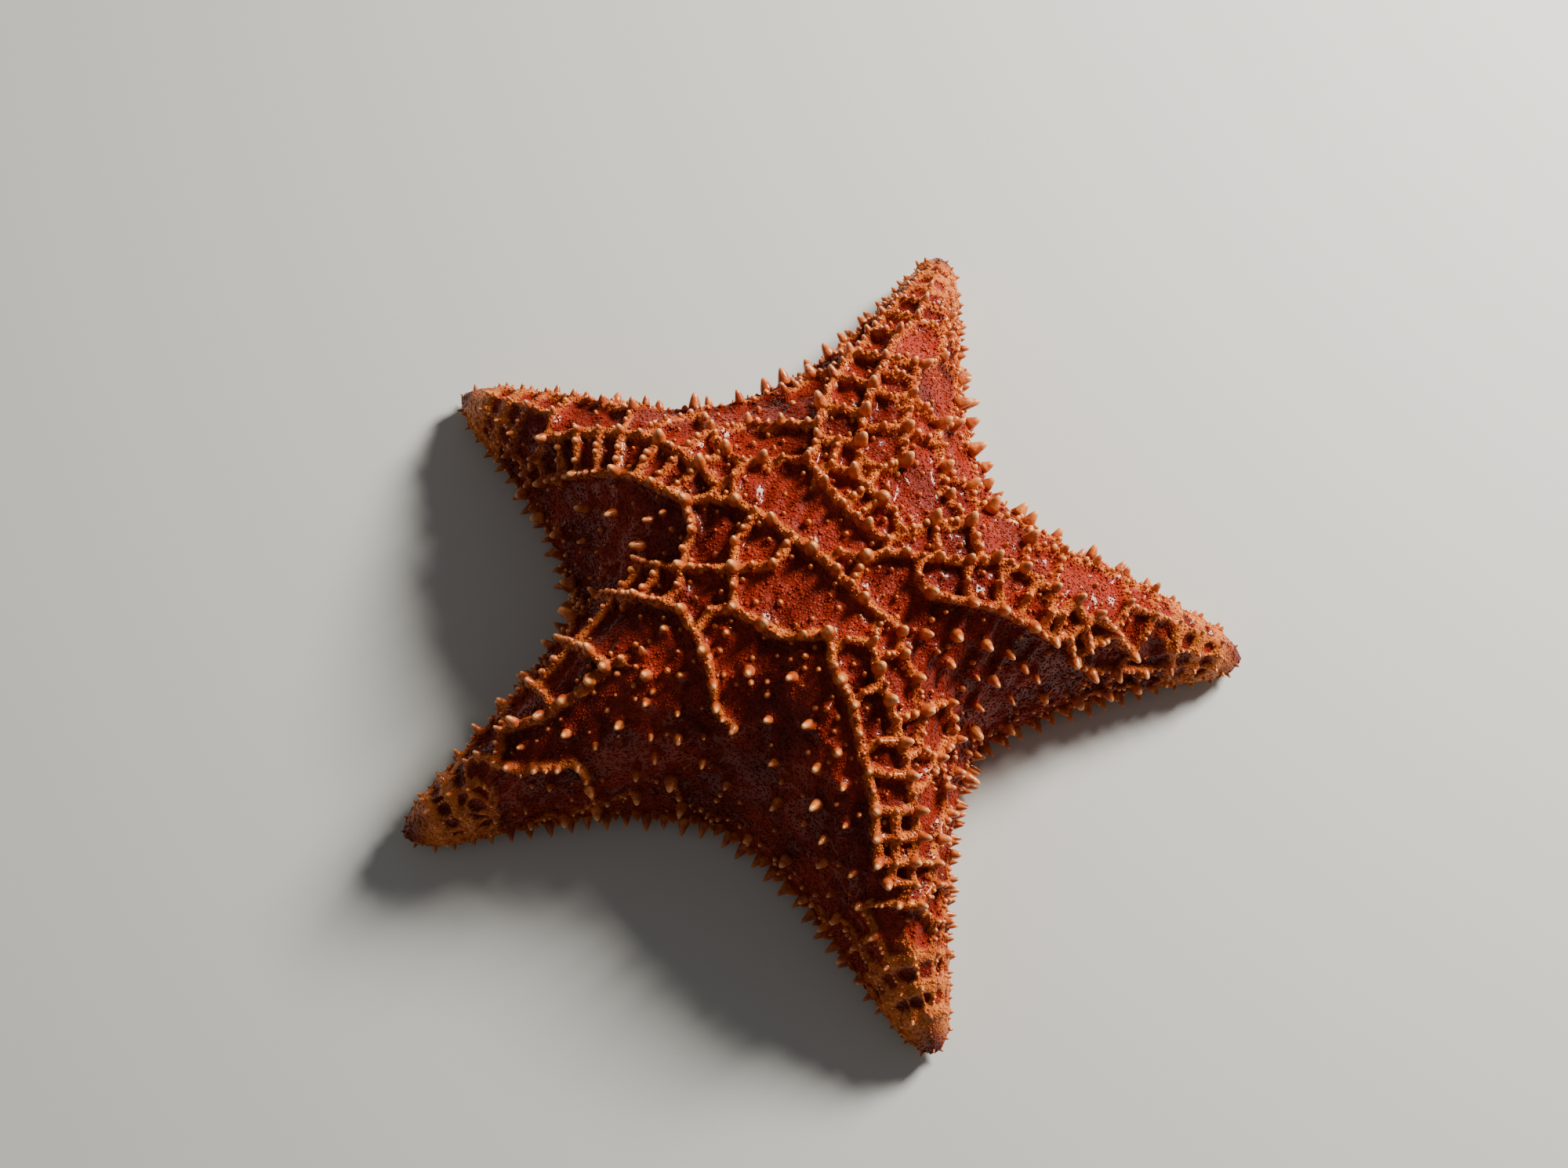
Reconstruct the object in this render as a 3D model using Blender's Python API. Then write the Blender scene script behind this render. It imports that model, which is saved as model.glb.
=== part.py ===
# Cushion sea star, a still life-size model: a high disc and five short arms.
# Metres, +Z up. The star lies on the floor at z = 0, and the origin is the middle of the
# rectangle that it covers there. Sides of an arm are as seen from above, looking to its tip.

import math
import random

import bmesh
import bpy
import numpy as np
from mathutils import Matrix, Vector
from mathutils.geometry import delaunay_2d_cdt

# Driving dimensions of the body
DISC_HEIGHT = 0.064
TIP_HEIGHT = 0.0115
CREST_FALL = 2.1
AMBITUS = 0.0065
UNDER_CURVE = 0.006
CENTRE = (-0.0076, -0.0027)

# One line an arm: name, direction in degrees, length, sideways bow at its middle
ARMS = (
    ("arm_right", 3.8, 0.1350, 0.0020),
    ("arm_upper", 78.0, 0.1330, -0.0013),
    ("arm_left", 153.8, 0.1295, -0.0007),
    ("arm_lower_left", 218.6, 0.1355, 0.0003),
    ("arm_lower_right", 294.2, 0.1355, -0.0018),
)
# One line a notch, from the one past the first arm: distance from the mouth, turn in degrees
NOTCHES = (
    (0.0723, 0.0),
    (0.0732, 0.8),
    (0.0703, 0.6),
    (0.0697, 0.0),
    (0.0665, 1.0),
)

# Plan of an arm, measured back from its tip
TIP_HALF_WIDTH = 0.0044
TIP_ROUND = 0.0070
TAPER = 0.325
FLARE_POWER = 5.0
FAN_POWER = 2.2
TIP_LAG = 0.0060

# Cross sections: the two powers of the vault at the notches and at the tips
VAULT_NOTCH = (2.4, 0.62)
VAULT_TIP = (1.75, 0.74)

# Underside
GROOVE_HALF_WIDTH = 0.0045
GROOVE_DEPTH = 0.0065
GROOVE_LIMIT = 0.22
SOLE_RISE = 0.0025

# Skeleton plates under the upper skin: rows along each arm, closing up towards the tips
ROW_SPACING = 0.0137
PLATE_SPACING = 0.0146
ROWS = 8
TIP_ROWS = 3.2
TIP_CLOSING = 0.50
RIM_ROOM = 0.62
PLATE_SCATTER = 0.08
RIM_SPACING = 0.0118

# Soft cells sunk between the ridges that join the plates
CELL_INSET = 0.23
CELL_INSET_LIMIT = 0.0026
CELL_SINK = 0.0014

# Knobs on the plates
KNOB_SIDES = 5
KNOB_EVERY = 3
KNOB_ROOT = 0.0024
KNOB_HEIGHT = 0.0033
KNOB_SINK = 0.0016

# Spines in two rows along the margin
SPINE_SPACING = 0.0124
SPINE_ROOT = 0.0021
SPINE_LENGTH = 0.0055
SPINE_SINK = 0.0019
SPINE_SIDES = 5
SPINE_SCATTER = 6.0
UPPER_SPINES = (0.0075, 34.0)
LOWER_SPINES = (0.0034, 5.0)

# Tube feet in the grooves, and the spines that guard their edges
FOOT_SPACING = 0.0240
FOOT_OFFSET = 0.0017
FOOT_ROOT = 0.0008
FOOT_END = 0.0012
GUARD_SPACING = 0.0270
GUARD_OFFSET = 0.0062
GUARD_ROOT = 0.0012
GUARD_SIDES = 4
GUARD_LEAN = 0.0010
FLOOR_CLEAR = 0.0006
GROOVE_START = 0.0125
GROOVE_STOP = 0.86

# Cuts between the disc and the arms
CUT_PAST_NOTCH = 0.003
CUT_GAP = 0.0003

SEED = 5
SKIN_COLOUR = (0.55, 0.17, 0.045, 1.0)
SKIN_ROUGHNESS = 0.45


def direction(degrees):
    """Unit vector in the floor plane."""
    angle = math.radians(degrees)
    return np.array([math.cos(angle), math.sin(angle)])


def blend(low, high, share):
    """Straight mix of two values."""
    return low + (high - low) * share


def ease(share):
    """Smooth step from 0 to 1."""
    share = np.clip(share, 0.0, 1.0)
    return share * share * (3.0 - 2.0 * share)


def lengths_along(points):
    """Distance from the first point to each point of a path."""
    steps = np.linalg.norm(np.diff(points, axis=0), axis=1)
    return np.concatenate([[0.0], np.cumsum(steps)])


def notch_point(number):
    """Plan position of the notch that follows an arm, counter-clockwise."""
    reach, turn = NOTCHES[number]
    first = ARMS[number][1]
    second = ARMS[(number + 1) % len(ARMS)][1]
    if second < first:
        second += 360.0
    return reach * direction((first + second) / 2.0 + turn)


def half_width(back, flare, span):
    """Half width of an arm at a distance back from its tip."""
    rounded = 1.0 - np.clip(back / TIP_ROUND, 0.0, 1.0)
    end = TIP_HALF_WIDTH * np.sqrt(1.0 - rounded * rounded)
    return end + TAPER * back + flare * (back / span) ** FLARE_POWER


class HalfArm:
    """One side of an arm: sections that fan from the notch line round to the tip."""

    def __init__(self, number, side):
        self.arm = ARMS[number]
        _, heading, self.length, self.bow = self.arm
        self.side = side
        self.along = direction(heading)
        self.across = np.array([-self.along[1], self.along[0]]) * side
        ends = (notch_point(number), notch_point((number - 1) % len(ARMS)))
        self.root = float((ends[0] + ends[1]) @ self.along) / 2.0
        notch = ends[0] if side > 0 else ends[1]
        self.notch_along = float(notch @ self.along)
        self.notch_across = float(notch @ self.across)
        self.span = self.length - self.notch_along
        plain = half_width(self.span, 0.0, self.span)
        self.flare = self.notch_across - plain

    def margin(self, share):
        """Distance along the arm and half width of the margin, 0 at the notch and 1 at the tip."""
        back = self.span * (1.0 - share)
        return self.length - back, half_width(back, self.flare, self.span)

    def axis(self, share):
        """Distance along the arm where the section meets the crest."""
        lead = self.root * (1.0 - share) ** FAN_POWER
        lag = TIP_LAG * share ** 6
        return blend(self.root, self.length, share) - lead - lag

    def vault(self, share, out):
        """Height of the upper side at a section."""
        far = self.axis(share) / self.length
        crest = TIP_HEIGHT + (DISC_HEIGHT - TIP_HEIGHT) * (1.0 - far ** CREST_FALL)
        rise = blend(VAULT_NOTCH[0], VAULT_TIP[0], share)
        drop = blend(VAULT_NOTCH[1], VAULT_TIP[1], share)
        return AMBITUS + (crest - AMBITUS) * (1.0 - out ** rise) ** drop

    def place(self, share, out, height):
        """World points of a section, from the crest (out 0) to the margin (out 1)."""
        margin_along, margin_across = self.margin(share)
        start = self.axis(share)
        along = start + (margin_along - start) * out
        shift = self.bow * self.side * 4.0 * share * (1.0 - share)
        across = margin_across * out + shift
        plan = along[:, None] * self.along + across[:, None] * self.across + np.array(CENTRE)
        return np.column_stack([plan, height])

    def profile(self, share):
        """Finely spaced points of the upper side of a section and their distance from the crest."""
        out = np.linspace(0.0, 1.0, 200) ** 0.5
        points = self.place(share, out, self.vault(share, out))
        return points, lengths_along(points)

    def upper(self, share, runs):
        """Points of the upper side at some distances over the skin from the crest."""
        points, length = self.profile(share)
        return np.column_stack([np.interp(runs, length, points[:, k]) for k in range(3)])

    def flat(self, share, run):
        """Place on the upper skin when it is rolled out flat around the crests."""
        margin_along, margin_across = self.margin(share)
        start = self.axis(share)
        toward = (margin_along - start) * self.along + margin_across * self.across
        shift = self.bow * self.side * 4.0 * share * (1.0 - share)
        return start * self.along + shift * self.across + toward / np.linalg.norm(toward) * run

    def row_step(self, share):
        """Distance between rows of plates at a section."""
        return min(ROW_SPACING, self.profile(share)[1][-1] / TIP_ROWS)

    def row(self, number):
        """Shares of the plates of one row, which ends where it meets the margin."""
        shares = np.linspace(0.0, 1.0, 101)
        steps = np.array([self.row_step(share) for share in shares])
        whole = np.array([self.profile(share)[1][-1] for share in shares])
        shares = shares[whole > (number + RIM_ROOM) * steps]
        if len(shares) < 2:
            return []
        path = np.array([self.flat(share, number * self.row_step(share)) for share in shares])
        closing = 1.0 - TIP_CLOSING * shares ** 2
        length = np.cumsum(np.concatenate([[0.0], np.diff(lengths_along(path)) / closing[1:]]))
        places = np.arange(number % 2 * 0.5, length[-1] / PLATE_SPACING, 1.0) * PLATE_SPACING
        return list(np.interp(places, length, shares))

    def plates(self):
        """Row, share and distance from the crest of every plate on this side of the arm."""
        chance = random.Random(SEED * 100 + ARMS.index(self.arm) * 2 + (self.side > 0))
        found = []
        for number in range(0 if self.side > 0 else 1, ROWS):
            for share in self.row(number):
                if share == 0.0 and (self.side < 0 or number == 0):
                    continue
                loose = PLATE_SCATTER * self.row_step(share) if number and share else 0.0
                run = number * self.row_step(share) + chance.uniform(-loose, loose)
                found.append((number, share, run))
        return found

    def rim(self):
        """Finely spaced shares along the margin, their points and the distance to each."""
        shares = np.linspace(0.0, 1.0, 201)
        edge = np.array([self.place(share, np.array([1.0]), [AMBITUS])[0] for share in shares])
        return shares, edge, lengths_along(edge)

    def rim_shares(self):
        """Shares of nearly even points along the margin, the same for both sides of an arm."""
        shares, _, length = HalfArm(ARMS.index(self.arm), 1).rim()
        count = round(length[-1] / RIM_SPACING)
        return np.interp(np.linspace(0.0, length[-1], count + 1), length, shares)

    def normal(self, share, run):
        """Outward direction of the upper side at a place."""
        near = min(share, 0.97)
        here = self.upper(near, [max(run - 0.001, 0.0), run + 0.001])
        on = self.upper(near + 0.03, [run])[0] - self.upper(near, [run])[0]
        out = Vector(here[1] - here[0]).cross(Vector(on)).normalized()
        return -out if out.z < 0.0 else out

    def under(self, share):
        """Points from the margin down to the floor and in over the sole to the groove."""
        margin_along, margin_across = self.margin(share)
        width = math.hypot(margin_along - self.axis(share), margin_across)
        rim = np.clip(1.0 - UNDER_CURVE / width * np.array([0.15, 1.0]), 0.35, 1.0)
        notch_lean = math.sin(math.pi / len(ARMS))
        lean = blend(notch_lean, margin_across / width, min(share * 8.0, 1.0))
        groove = min(GROOVE_HALF_WIDTH / (width * max(lean, 0.5)), GROOVE_LIMIT)
        sole = blend(groove, rim[-1], 0.55)
        close = 1.0 - ease((share - 0.86) / 0.14)
        out = np.array([rim[0], rim[1], sole, groove * 1.15, groove * 0.8, 0.0])
        depth = GROOVE_DEPTH * close
        height = np.array([AMBITUS * 0.38, 0.0, 0.0, SOLE_RISE * close, depth * 0.8, depth])
        return self.place(share, out, height)


def rim_point(half, share):
    """Point of the margin."""
    return half.place(share, np.array([1.0]), [AMBITUS])[0]


def upper_skin(shell, halves, plates):
    """Upper side: triangles between the plates, rolled out flat to find which plates are neighbours."""
    middle = np.array([CENTRE[0], CENTRE[1], DISC_HEIGHT])
    flats = [np.zeros(2)]
    points = [middle]
    for half, found in zip(halves, plates):
        for _, share, run in found:
            flats.append(half.flat(share, run))
            points.append(half.upper(share, [run])[0])
    rim = []
    for k, half in enumerate(halves):
        shares = half.rim_shares()
        for share in shares[:-1] if half.side < 0 else shares[::-1][:-1]:
            rim.append(len(flats))
            flats.append(half.flat(share, half.profile(share)[1][-1]))
            points.append(rim_point(half, share))
    corners = [Vector(place) for place in flats]
    result = delaunay_2d_cdt(corners, [], [rim], 1, 0.000001)
    verts = [shell.verts.new(points[source[0]]) for source in result[3]]
    for triangle in result[2]:
        face = shell.faces.new([verts[k] for k in triangle])
        inner = all(result[3][k][0] not in rim for k in triangle)
        face.material_index = int(inner)


def under_skin(shell, halves):
    """Lower side: a loft over ten half arms, from the margin in to the grooves."""
    for half in halves:
        rows = []
        for share in half.rim_shares():
            section = np.vstack([rim_point(half, share), half.under(share)])
            rows.append([shell.verts.new(point) for point in section])
        for near, far in zip(rows, rows[1:]):
            for k in range(len(near) - 1):
                shell.faces.new((near[k], near[k + 1], far[k + 1]))
                shell.faces.new((near[k], far[k + 1], far[k]))


def closed_body(halves, plates):
    """The whole body as one closed surface, with the cells between its plates marked."""
    shell = bmesh.new()
    upper_skin(shell, halves, plates)
    under_skin(shell, halves)
    bmesh.ops.remove_doubles(shell, verts=shell.verts, dist=0.00002)
    bmesh.ops.recalc_face_normals(shell, faces=shell.faces)
    return shell


def sink_cells(shell):
    """Sinks the skin inside each mesh of the network, so that ridges stand between the plates."""
    cells = [face for face in shell.faces if face.material_index]
    for cell in cells:
        size = math.sqrt(cell.calc_area())
        inset = min(size * CELL_INSET, CELL_INSET_LIMIT)
        bmesh.ops.inset_individual(
            shell,
            faces=[cell],
            thickness=inset,
            depth=-CELL_SINK * inset / CELL_INSET_LIMIT,
            use_even_offset=True,
        )
    for face in shell.faces:
        face.material_index = 0


def peg(root, tip, root_radius, tip_radius, sides):
    """A closed tapered peg from one point to another."""
    axis = tip - root
    turn = axis.to_track_quat("Z", "Y").to_matrix().to_4x4()
    mesh = bmesh.new()
    bmesh.ops.create_cone(
        mesh,
        cap_ends=True,
        segments=sides,
        radius1=root_radius,
        radius2=tip_radius,
        depth=axis.length,
        matrix=Matrix.Translation((root + tip) / 2.0) @ turn,
    )
    return mesh


def knobs(half, plates, chance):
    """Knobs on the plates of one side of an arm: on all of the crest, and on every third beside it."""
    pieces = []
    for place, (number, share, run) in enumerate(plates):
        if number and (place + number) % KNOB_EVERY:
            continue
        root = Vector(half.upper(share, [run])[0])
        normal = half.normal(share, run)
        size = blend(1.15, 0.75, share) * chance.uniform(0.85, 1.15)
        tip = root + normal * KNOB_HEIGHT * size
        pieces.append(peg(root - normal * KNOB_SINK, tip, KNOB_ROOT * size, 0.0, KNOB_SIDES))
    return pieces


def margin_spines(half, chance):
    """Two rows of spines along the margin of one side of an arm."""
    shares, edge, length = half.rim()
    pieces = []
    for row, (rise, lift) in enumerate((UPPER_SPINES, LOWER_SPINES)):
        for place in np.arange(SPINE_SPACING * 0.5 * row, length[-1], SPINE_SPACING):
            share = float(np.interp(place, length, shares))
            near, root, far = [
                Vector([np.interp(place + step, length, edge[:, k]) for k in range(3)])
                for step in (-0.001, 0.0, 0.001)
            ]
            along = (far - near).normalized()
            out = Vector((-along.y, along.x, 0.0)) * half.side
            tilt = math.radians(lift + chance.uniform(0.0, SPINE_SCATTER))
            aim = out * math.cos(tilt) + Vector((0.0, 0.0, math.sin(tilt)))
            size = blend(1.0, 0.8, share) * chance.uniform(0.88, 1.12)
            root.z = rise
            tip = root + aim * SPINE_LENGTH * size
            pieces.append(peg(root - aim * SPINE_SINK, tip, SPINE_ROOT * size, 0.0, SPINE_SIDES))
    return pieces


def groove_places(half, spacing, offset):
    """Plan points along one edge of the groove."""
    for reach in np.arange(GROOVE_START, half.length * GROOVE_STOP, spacing):
        yield half.along * reach + half.across * offset + np.array(CENTRE)


def tube_feet(half):
    """Soft feet that hang in the groove, wider at their suckers."""
    pieces = []
    for place in groove_places(half, FOOT_SPACING, FOOT_OFFSET):
        root = Vector((place[0], place[1], GROOVE_DEPTH + 2.0 * FOOT_ROOT))
        end = Vector((place[0], place[1], FLOOR_CLEAR))
        pieces.append(peg(root, end, FOOT_ROOT, FOOT_END, 5))
    return pieces


def guard_spines(half):
    """Short flat spines that stand along the edge of the groove and lean over it."""
    pieces = []
    for place in groove_places(half, GUARD_SPACING, GUARD_OFFSET):
        lean = half.across * GUARD_LEAN
        root = Vector((place[0], place[1], SOLE_RISE + 2.0 * GUARD_ROOT))
        end = Vector((place[0] - lean[0], place[1] - lean[1], FLOOR_CLEAR))
        pieces.append(peg(root, end, GUARD_ROOT, 0.0, GUARD_SIDES))
    return pieces


def join_all(body, pieces):
    """One union of the body with every closed piece that grows from it."""
    forms = bpy.data.collections.new("forms")
    bpy.context.scene.collection.children.link(forms)
    for piece in pieces:
        data = bpy.data.meshes.new("form")
        piece.to_mesh(data)
        piece.free()
        forms.objects.link(bpy.data.objects.new("form", data))
    data = bpy.data.meshes.new("whole")
    body.to_mesh(data)
    whole = bpy.data.objects.new("whole", data)
    bpy.context.scene.collection.objects.link(whole)
    union = whole.modifiers.new("join", "BOOLEAN")
    union.operation = "UNION"
    union.operand_type = "COLLECTION"
    union.collection = forms
    union.solver = "EXACT"
    bpy.context.view_layer.update()
    shape = whole.evaluated_get(bpy.context.evaluated_depsgraph_get())
    joined = bmesh.new()
    joined.from_mesh(shape.to_mesh())
    for piece in list(forms.objects) + [whole]:
        bpy.data.objects.remove(piece, do_unlink=True)
    bpy.data.collections.remove(forms)
    return joined


def cut_distance(number):
    """Distance from the mouth to the cut between the disc and an arm."""
    along = direction(ARMS[number][1])
    reach = max(notch_point(number) @ along, notch_point((number - 1) % len(ARMS)) @ along)
    return reach + CUT_PAST_NOTCH


def keep_side(mesh, number, distance, outer):
    """Cuts a body square across an arm, keeps one side and closes the cut."""
    along = direction(ARMS[number][1])
    base = along * distance + np.array(CENTRE)
    cut = bmesh.ops.bisect_plane(
        mesh,
        geom=mesh.verts[:] + mesh.edges[:] + mesh.faces[:],
        plane_co=(base[0], base[1], 0.0),
        plane_no=(along[0], along[1], 0.0),
        clear_inner=outer,
        clear_outer=not outer,
    )
    rim = [piece for piece in cut["geom_cut"] if isinstance(piece, bmesh.types.BMEdge)]
    bmesh.ops.holes_fill(mesh, edges=rim, sides=0)


def keep_largest_shell(mesh):
    """Drops every closed surface of a body but the largest."""
    left = set(mesh.verts)
    shells = []
    while left:
        start = left.pop()
        shell = [start]
        for vert in shell:
            for edge in vert.link_edges:
                end = edge.other_vert(vert)
                if end in left:
                    left.remove(end)
                    shell.append(end)
        shells.append(shell)
    shells.sort(key=len)
    for shell in shells[:-1]:
        bmesh.ops.delete(mesh, geom=shell, context="VERTS")


def skin_material(name):
    """Wet orange-brown skin."""
    material = bpy.data.materials.new(name)
    material.use_nodes = True
    shader = material.node_tree.nodes["Principled BSDF"]
    shader.inputs["Base Color"].default_value = SKIN_COLOUR
    shader.inputs["Roughness"].default_value = SKIN_ROUGHNESS
    return material


def add_node(collection, name, mesh):
    """Puts a finished body into the scene as one named piece."""
    keep_largest_shell(mesh)
    bmesh.ops.recalc_face_normals(mesh, faces=mesh.faces)
    data = bpy.data.meshes.new(name)
    mesh.to_mesh(data)
    mesh.free()
    data.materials.append(skin_material(name + "_skin"))
    collection.objects.link(bpy.data.objects.new(name, data))


for old in list(bpy.data.objects):
    bpy.data.objects.remove(old, do_unlink=True)

star = bpy.data.collections.new("sea_star")
bpy.context.scene.collection.children.link(star)

halves = [HalfArm(number, side) for number in range(len(ARMS)) for side in (-1, 1)]
plates = [half.plates() for half in halves]
shell = closed_body(halves, plates)
sink_cells(shell)

chance = random.Random(SEED)
forms = []
for half, found in zip(halves, plates):
    forms += knobs(half, found, chance)
    forms += margin_spines(half, chance)
    forms += tube_feet(half)
    forms += guard_spines(half)
body = join_all(shell, forms)
shell.free()

disc = body.copy()
for number in range(len(ARMS)):
    keep_side(disc, number, cut_distance(number) - CUT_GAP / 2.0, outer=False)
    arm = body.copy()
    keep_side(arm, number, cut_distance(number) + CUT_GAP / 2.0, outer=True)
    add_node(star, ARMS[number][0], arm)
add_node(star, "disc", disc)
body.free()
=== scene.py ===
import math

import bpy
import numpy as np
from mathutils import Matrix, Vector
from mathutils.geometry import delaunay_2d_cdt


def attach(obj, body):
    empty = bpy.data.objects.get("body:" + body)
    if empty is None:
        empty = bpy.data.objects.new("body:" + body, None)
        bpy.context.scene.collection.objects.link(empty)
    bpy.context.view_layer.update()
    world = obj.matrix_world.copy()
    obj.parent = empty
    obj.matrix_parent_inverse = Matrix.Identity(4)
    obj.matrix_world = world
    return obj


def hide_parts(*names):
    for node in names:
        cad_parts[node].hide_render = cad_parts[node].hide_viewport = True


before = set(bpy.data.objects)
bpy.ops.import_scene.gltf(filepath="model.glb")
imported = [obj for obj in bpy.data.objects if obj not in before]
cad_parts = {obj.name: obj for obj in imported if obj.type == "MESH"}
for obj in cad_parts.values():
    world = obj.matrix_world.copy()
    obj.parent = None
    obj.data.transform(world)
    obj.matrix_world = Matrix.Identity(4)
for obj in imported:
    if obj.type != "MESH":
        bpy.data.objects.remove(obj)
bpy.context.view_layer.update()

# Where the star is seen from. It lies on the floor and is looked at from above, a little from its
# lower side and with the picture turned a few degrees.
STAR_CENTRE = np.array([-0.0076, -0.0027])
VIEW_DISTANCE = 0.6745
VIEW_TILT = math.radians(20.0)
VIEW_ROLL = math.radians(8.6)
VIEW_SIDEWAYS = -0.0054
VIEW_UPWARD = 0.0136


def set_out(name, data):
    """A new object in the scene: a camera, a lamp or a mesh."""
    made = bpy.data.objects.new(name, data)
    bpy.context.scene.collection.objects.link(made)
    return made


view = Matrix.Rotation(VIEW_TILT, 3, "X") @ Matrix.Rotation(VIEW_ROLL, 3, "Z")
stand = Vector((*STAR_CENTRE, 0.0)) + view @ Vector((VIEW_SIDEWAYS, VIEW_UPWARD, VIEW_DISTANCE))
camera = set_out("camera", bpy.data.cameras.new("camera"))
camera.matrix_world = Matrix.Translation(stand) @ view.to_4x4()
camera.data.lens = 50.0
camera.data.sensor_width = 36.0
camera.data.clip_start = 0.01
camera.data.clip_end = 20.0
bpy.context.scene.camera = camera

# Plain pale floor under the star, matt and far wider than the picture. It is only a stage, laid a
# hair below the level that the star rests on.
FLOOR_REACH = 6.0
FLOOR_LEVEL = -0.0001
FLOOR_COLOUR = (0.62, 0.64, 0.63, 1.0)


def new_material(name):
    """A material of nodes: itself, its node tree and its shader."""
    material = bpy.data.materials.new(name)
    material.use_nodes = True
    return material, material.node_tree, material.node_tree.nodes["Principled BSDF"]


def wire(tree, node, **values):
    """Sets or links inputs of a node: named, with _ for spaces, or numbered, with an i before it."""
    for key, value in values.items():
        socket = node.inputs[int(key[1:]) if key[1:].isdigit() else key.replace("_", " ")]
        if isinstance(value, bpy.types.NodeSocket):
            tree.links.new(value, socket)
        else:
            socket.default_value = value


floor = set_out("floor", bpy.data.meshes.new("floor"))
floor_ends = (-FLOOR_REACH, FLOOR_REACH)
floor.data.from_pydata([(x, y, FLOOR_LEVEL) for y in floor_ends for x in floor_ends], [], [(0, 1, 3, 2)])
floor_paint, floor_tree, floor_shader = new_material("floor_paint")
wire(floor_tree, floor_shader, Base_Color=FLOOR_COLOUR, Roughness=0.85)
floor.data.materials.append(floor_paint)

# Studio light: one lamp high on the upper right, a weak wide one across from it, and an even pale
# room around them. One line a lamp: name, place, width, power, tint.
LAMPS = (
    ("key_lamp", (0.61, 0.67, 0.66), 0.3, 32.5, (1.0, 0.94, 0.85)),
    ("fill_lamp", (-0.9, -0.55, 0.8), 1.2, 0.6, (1.0, 0.96, 0.92)),
)
ROOM_LIGHT = (1.0, 0.98, 0.95, 1.0)
for name, lamp_place, width, power, tint in LAMPS:
    lamp = set_out(name, bpy.data.lights.new(name, "AREA"))
    lamp.data.size = width
    lamp.data.energy = power
    lamp.data.color = tint
    lamp.location = lamp_place
    lamp.rotation_euler = (-Vector(lamp_place)).to_track_quat("-Z", "Y").to_euler()
studio = bpy.data.worlds.new("room")
studio.use_nodes = True
wire(studio.node_tree, studio.node_tree.nodes["Background"], Color=ROOM_LIGHT, Strength=0.12)
bpy.context.scene.world = studio

# The form under the skin. Ten half arms are fans of sections that start on the crest of an arm and
# end on its margin, from the line between two arms (share 0) round to the tip (share 1).
DISC_HEIGHT = 0.064
TIP_HEIGHT = 0.0115
CREST_FALL = 2.1
AMBITUS = 0.0065
# One line an arm: direction in degrees, length, sideways bow
ARM_FORM = np.array([
    (3.8, 0.135, 0.002),
    (78.0, 0.133, -0.0013),
    (153.8, 0.1295, -0.0007),
    (218.6, 0.1355, 0.0003),
    (294.2, 0.1355, -0.0018),
])
ARM_NAMES = ("arm_right", "arm_upper", "arm_left", "arm_lower_left", "arm_lower_right")
# One line a notch, from the one past the first arm: distance from the mouth, turn in degrees
NOTCH_FORM = np.array([(0.0723, 0.0), (0.0732, 0.8), (0.0703, 0.6), (0.0697, 0.0), (0.0665, 1.0)])
TIP_HALF_WIDTH = 0.0044
TIP_ROUND = 0.007
TAPER = 0.325
FLARE_POWER = 5.0
FAN_POWER = 2.2
TIP_LAG = 0.006
TIP_LAG_POWER = 6
# Powers of the vault at the notch and at the tip
VAULT_RISE = (2.4, 1.75)
VAULT_DROP = (0.62, 0.74)
SECTION_POINTS = 90


def heading(degrees):
    """Unit vectors in the floor plane: cosine and sine of each angle."""
    angle = np.radians(degrees)
    return np.stack([np.cos(angle), np.sin(angle)], axis=-1)


def blend(low, high, share):
    """Low plus the share of the way to high."""
    return low + (high - low) * share


def held(values):
    """Values held between 0 and 1."""
    return np.clip(values, 0.0, 1.0)


def length(vectors):
    """Lengths of vectors: the root of the sum of their squares."""
    return np.linalg.norm(vectors, axis=-1)


def unit(vectors):
    """Vectors scaled to length one."""
    return vectors / np.maximum(length(vectors), 1e-12)[..., None]


def half_width(back, flare, span):
    """Rounded tip plus an even taper plus a flare that grows by a power to the notch."""
    rounded = 1.0 - held(back / TIP_ROUND)
    tip = TIP_HALF_WIDTH * np.sqrt(1.0 - rounded ** 2)
    return tip + TAPER * back + flare * (back / span) ** FLARE_POWER


turn_to_next = np.diff(ARM_FORM[:, 0], append=ARM_FORM[0, 0] + 360.0)
notches = NOTCH_FORM[:, :1] * heading(ARM_FORM[:, 0] + turn_to_next / 2.0 + NOTCH_FORM[:, 1])
arm_of = np.repeat(np.arange(5), 2)
side_of = np.tile([-1.0, 1.0], 5)
direction_of, length_of, bow_of = ARM_FORM[arm_of].T
along_of = heading(direction_of)
across_of = np.column_stack([-along_of[:, 1], along_of[:, 0]]) * side_of[:, None]
own_notch = np.where(side_of[:, None] > 0.0, notches[arm_of], notches[arm_of - 1])
root_of = ((notches[arm_of] + notches[arm_of - 1]) * along_of).sum(1) / 2.0
notch_along = (own_notch * along_of).sum(1)
notch_across = (own_notch * across_of).sum(1)
span_of = length_of - notch_along
flare_of = notch_across - half_width(span_of, 0.0, span_of)


def margin(half, share):
    """Place along the arm and half width there, a share of the way from notch to tip."""
    back = span_of[half] * (1.0 - share)
    return length_of[half] - back, half_width(back, flare_of[half], span_of[half])


def crest(half, share):
    """Where a section starts along the arm: a straight run, held back near the mouth and the tip."""
    early = root_of[half] * (1.0 - share) ** FAN_POWER
    return blend(root_of[half], length_of[half], share) - early - TIP_LAG * share ** TIP_LAG_POWER


def bowed(half, share):
    """Sideways shift by the arm's bow: a parabola of the share, 0 at both ends."""
    return bow_of[half] * side_of[half] * 4.0 * share * (1.0 - share)


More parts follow.
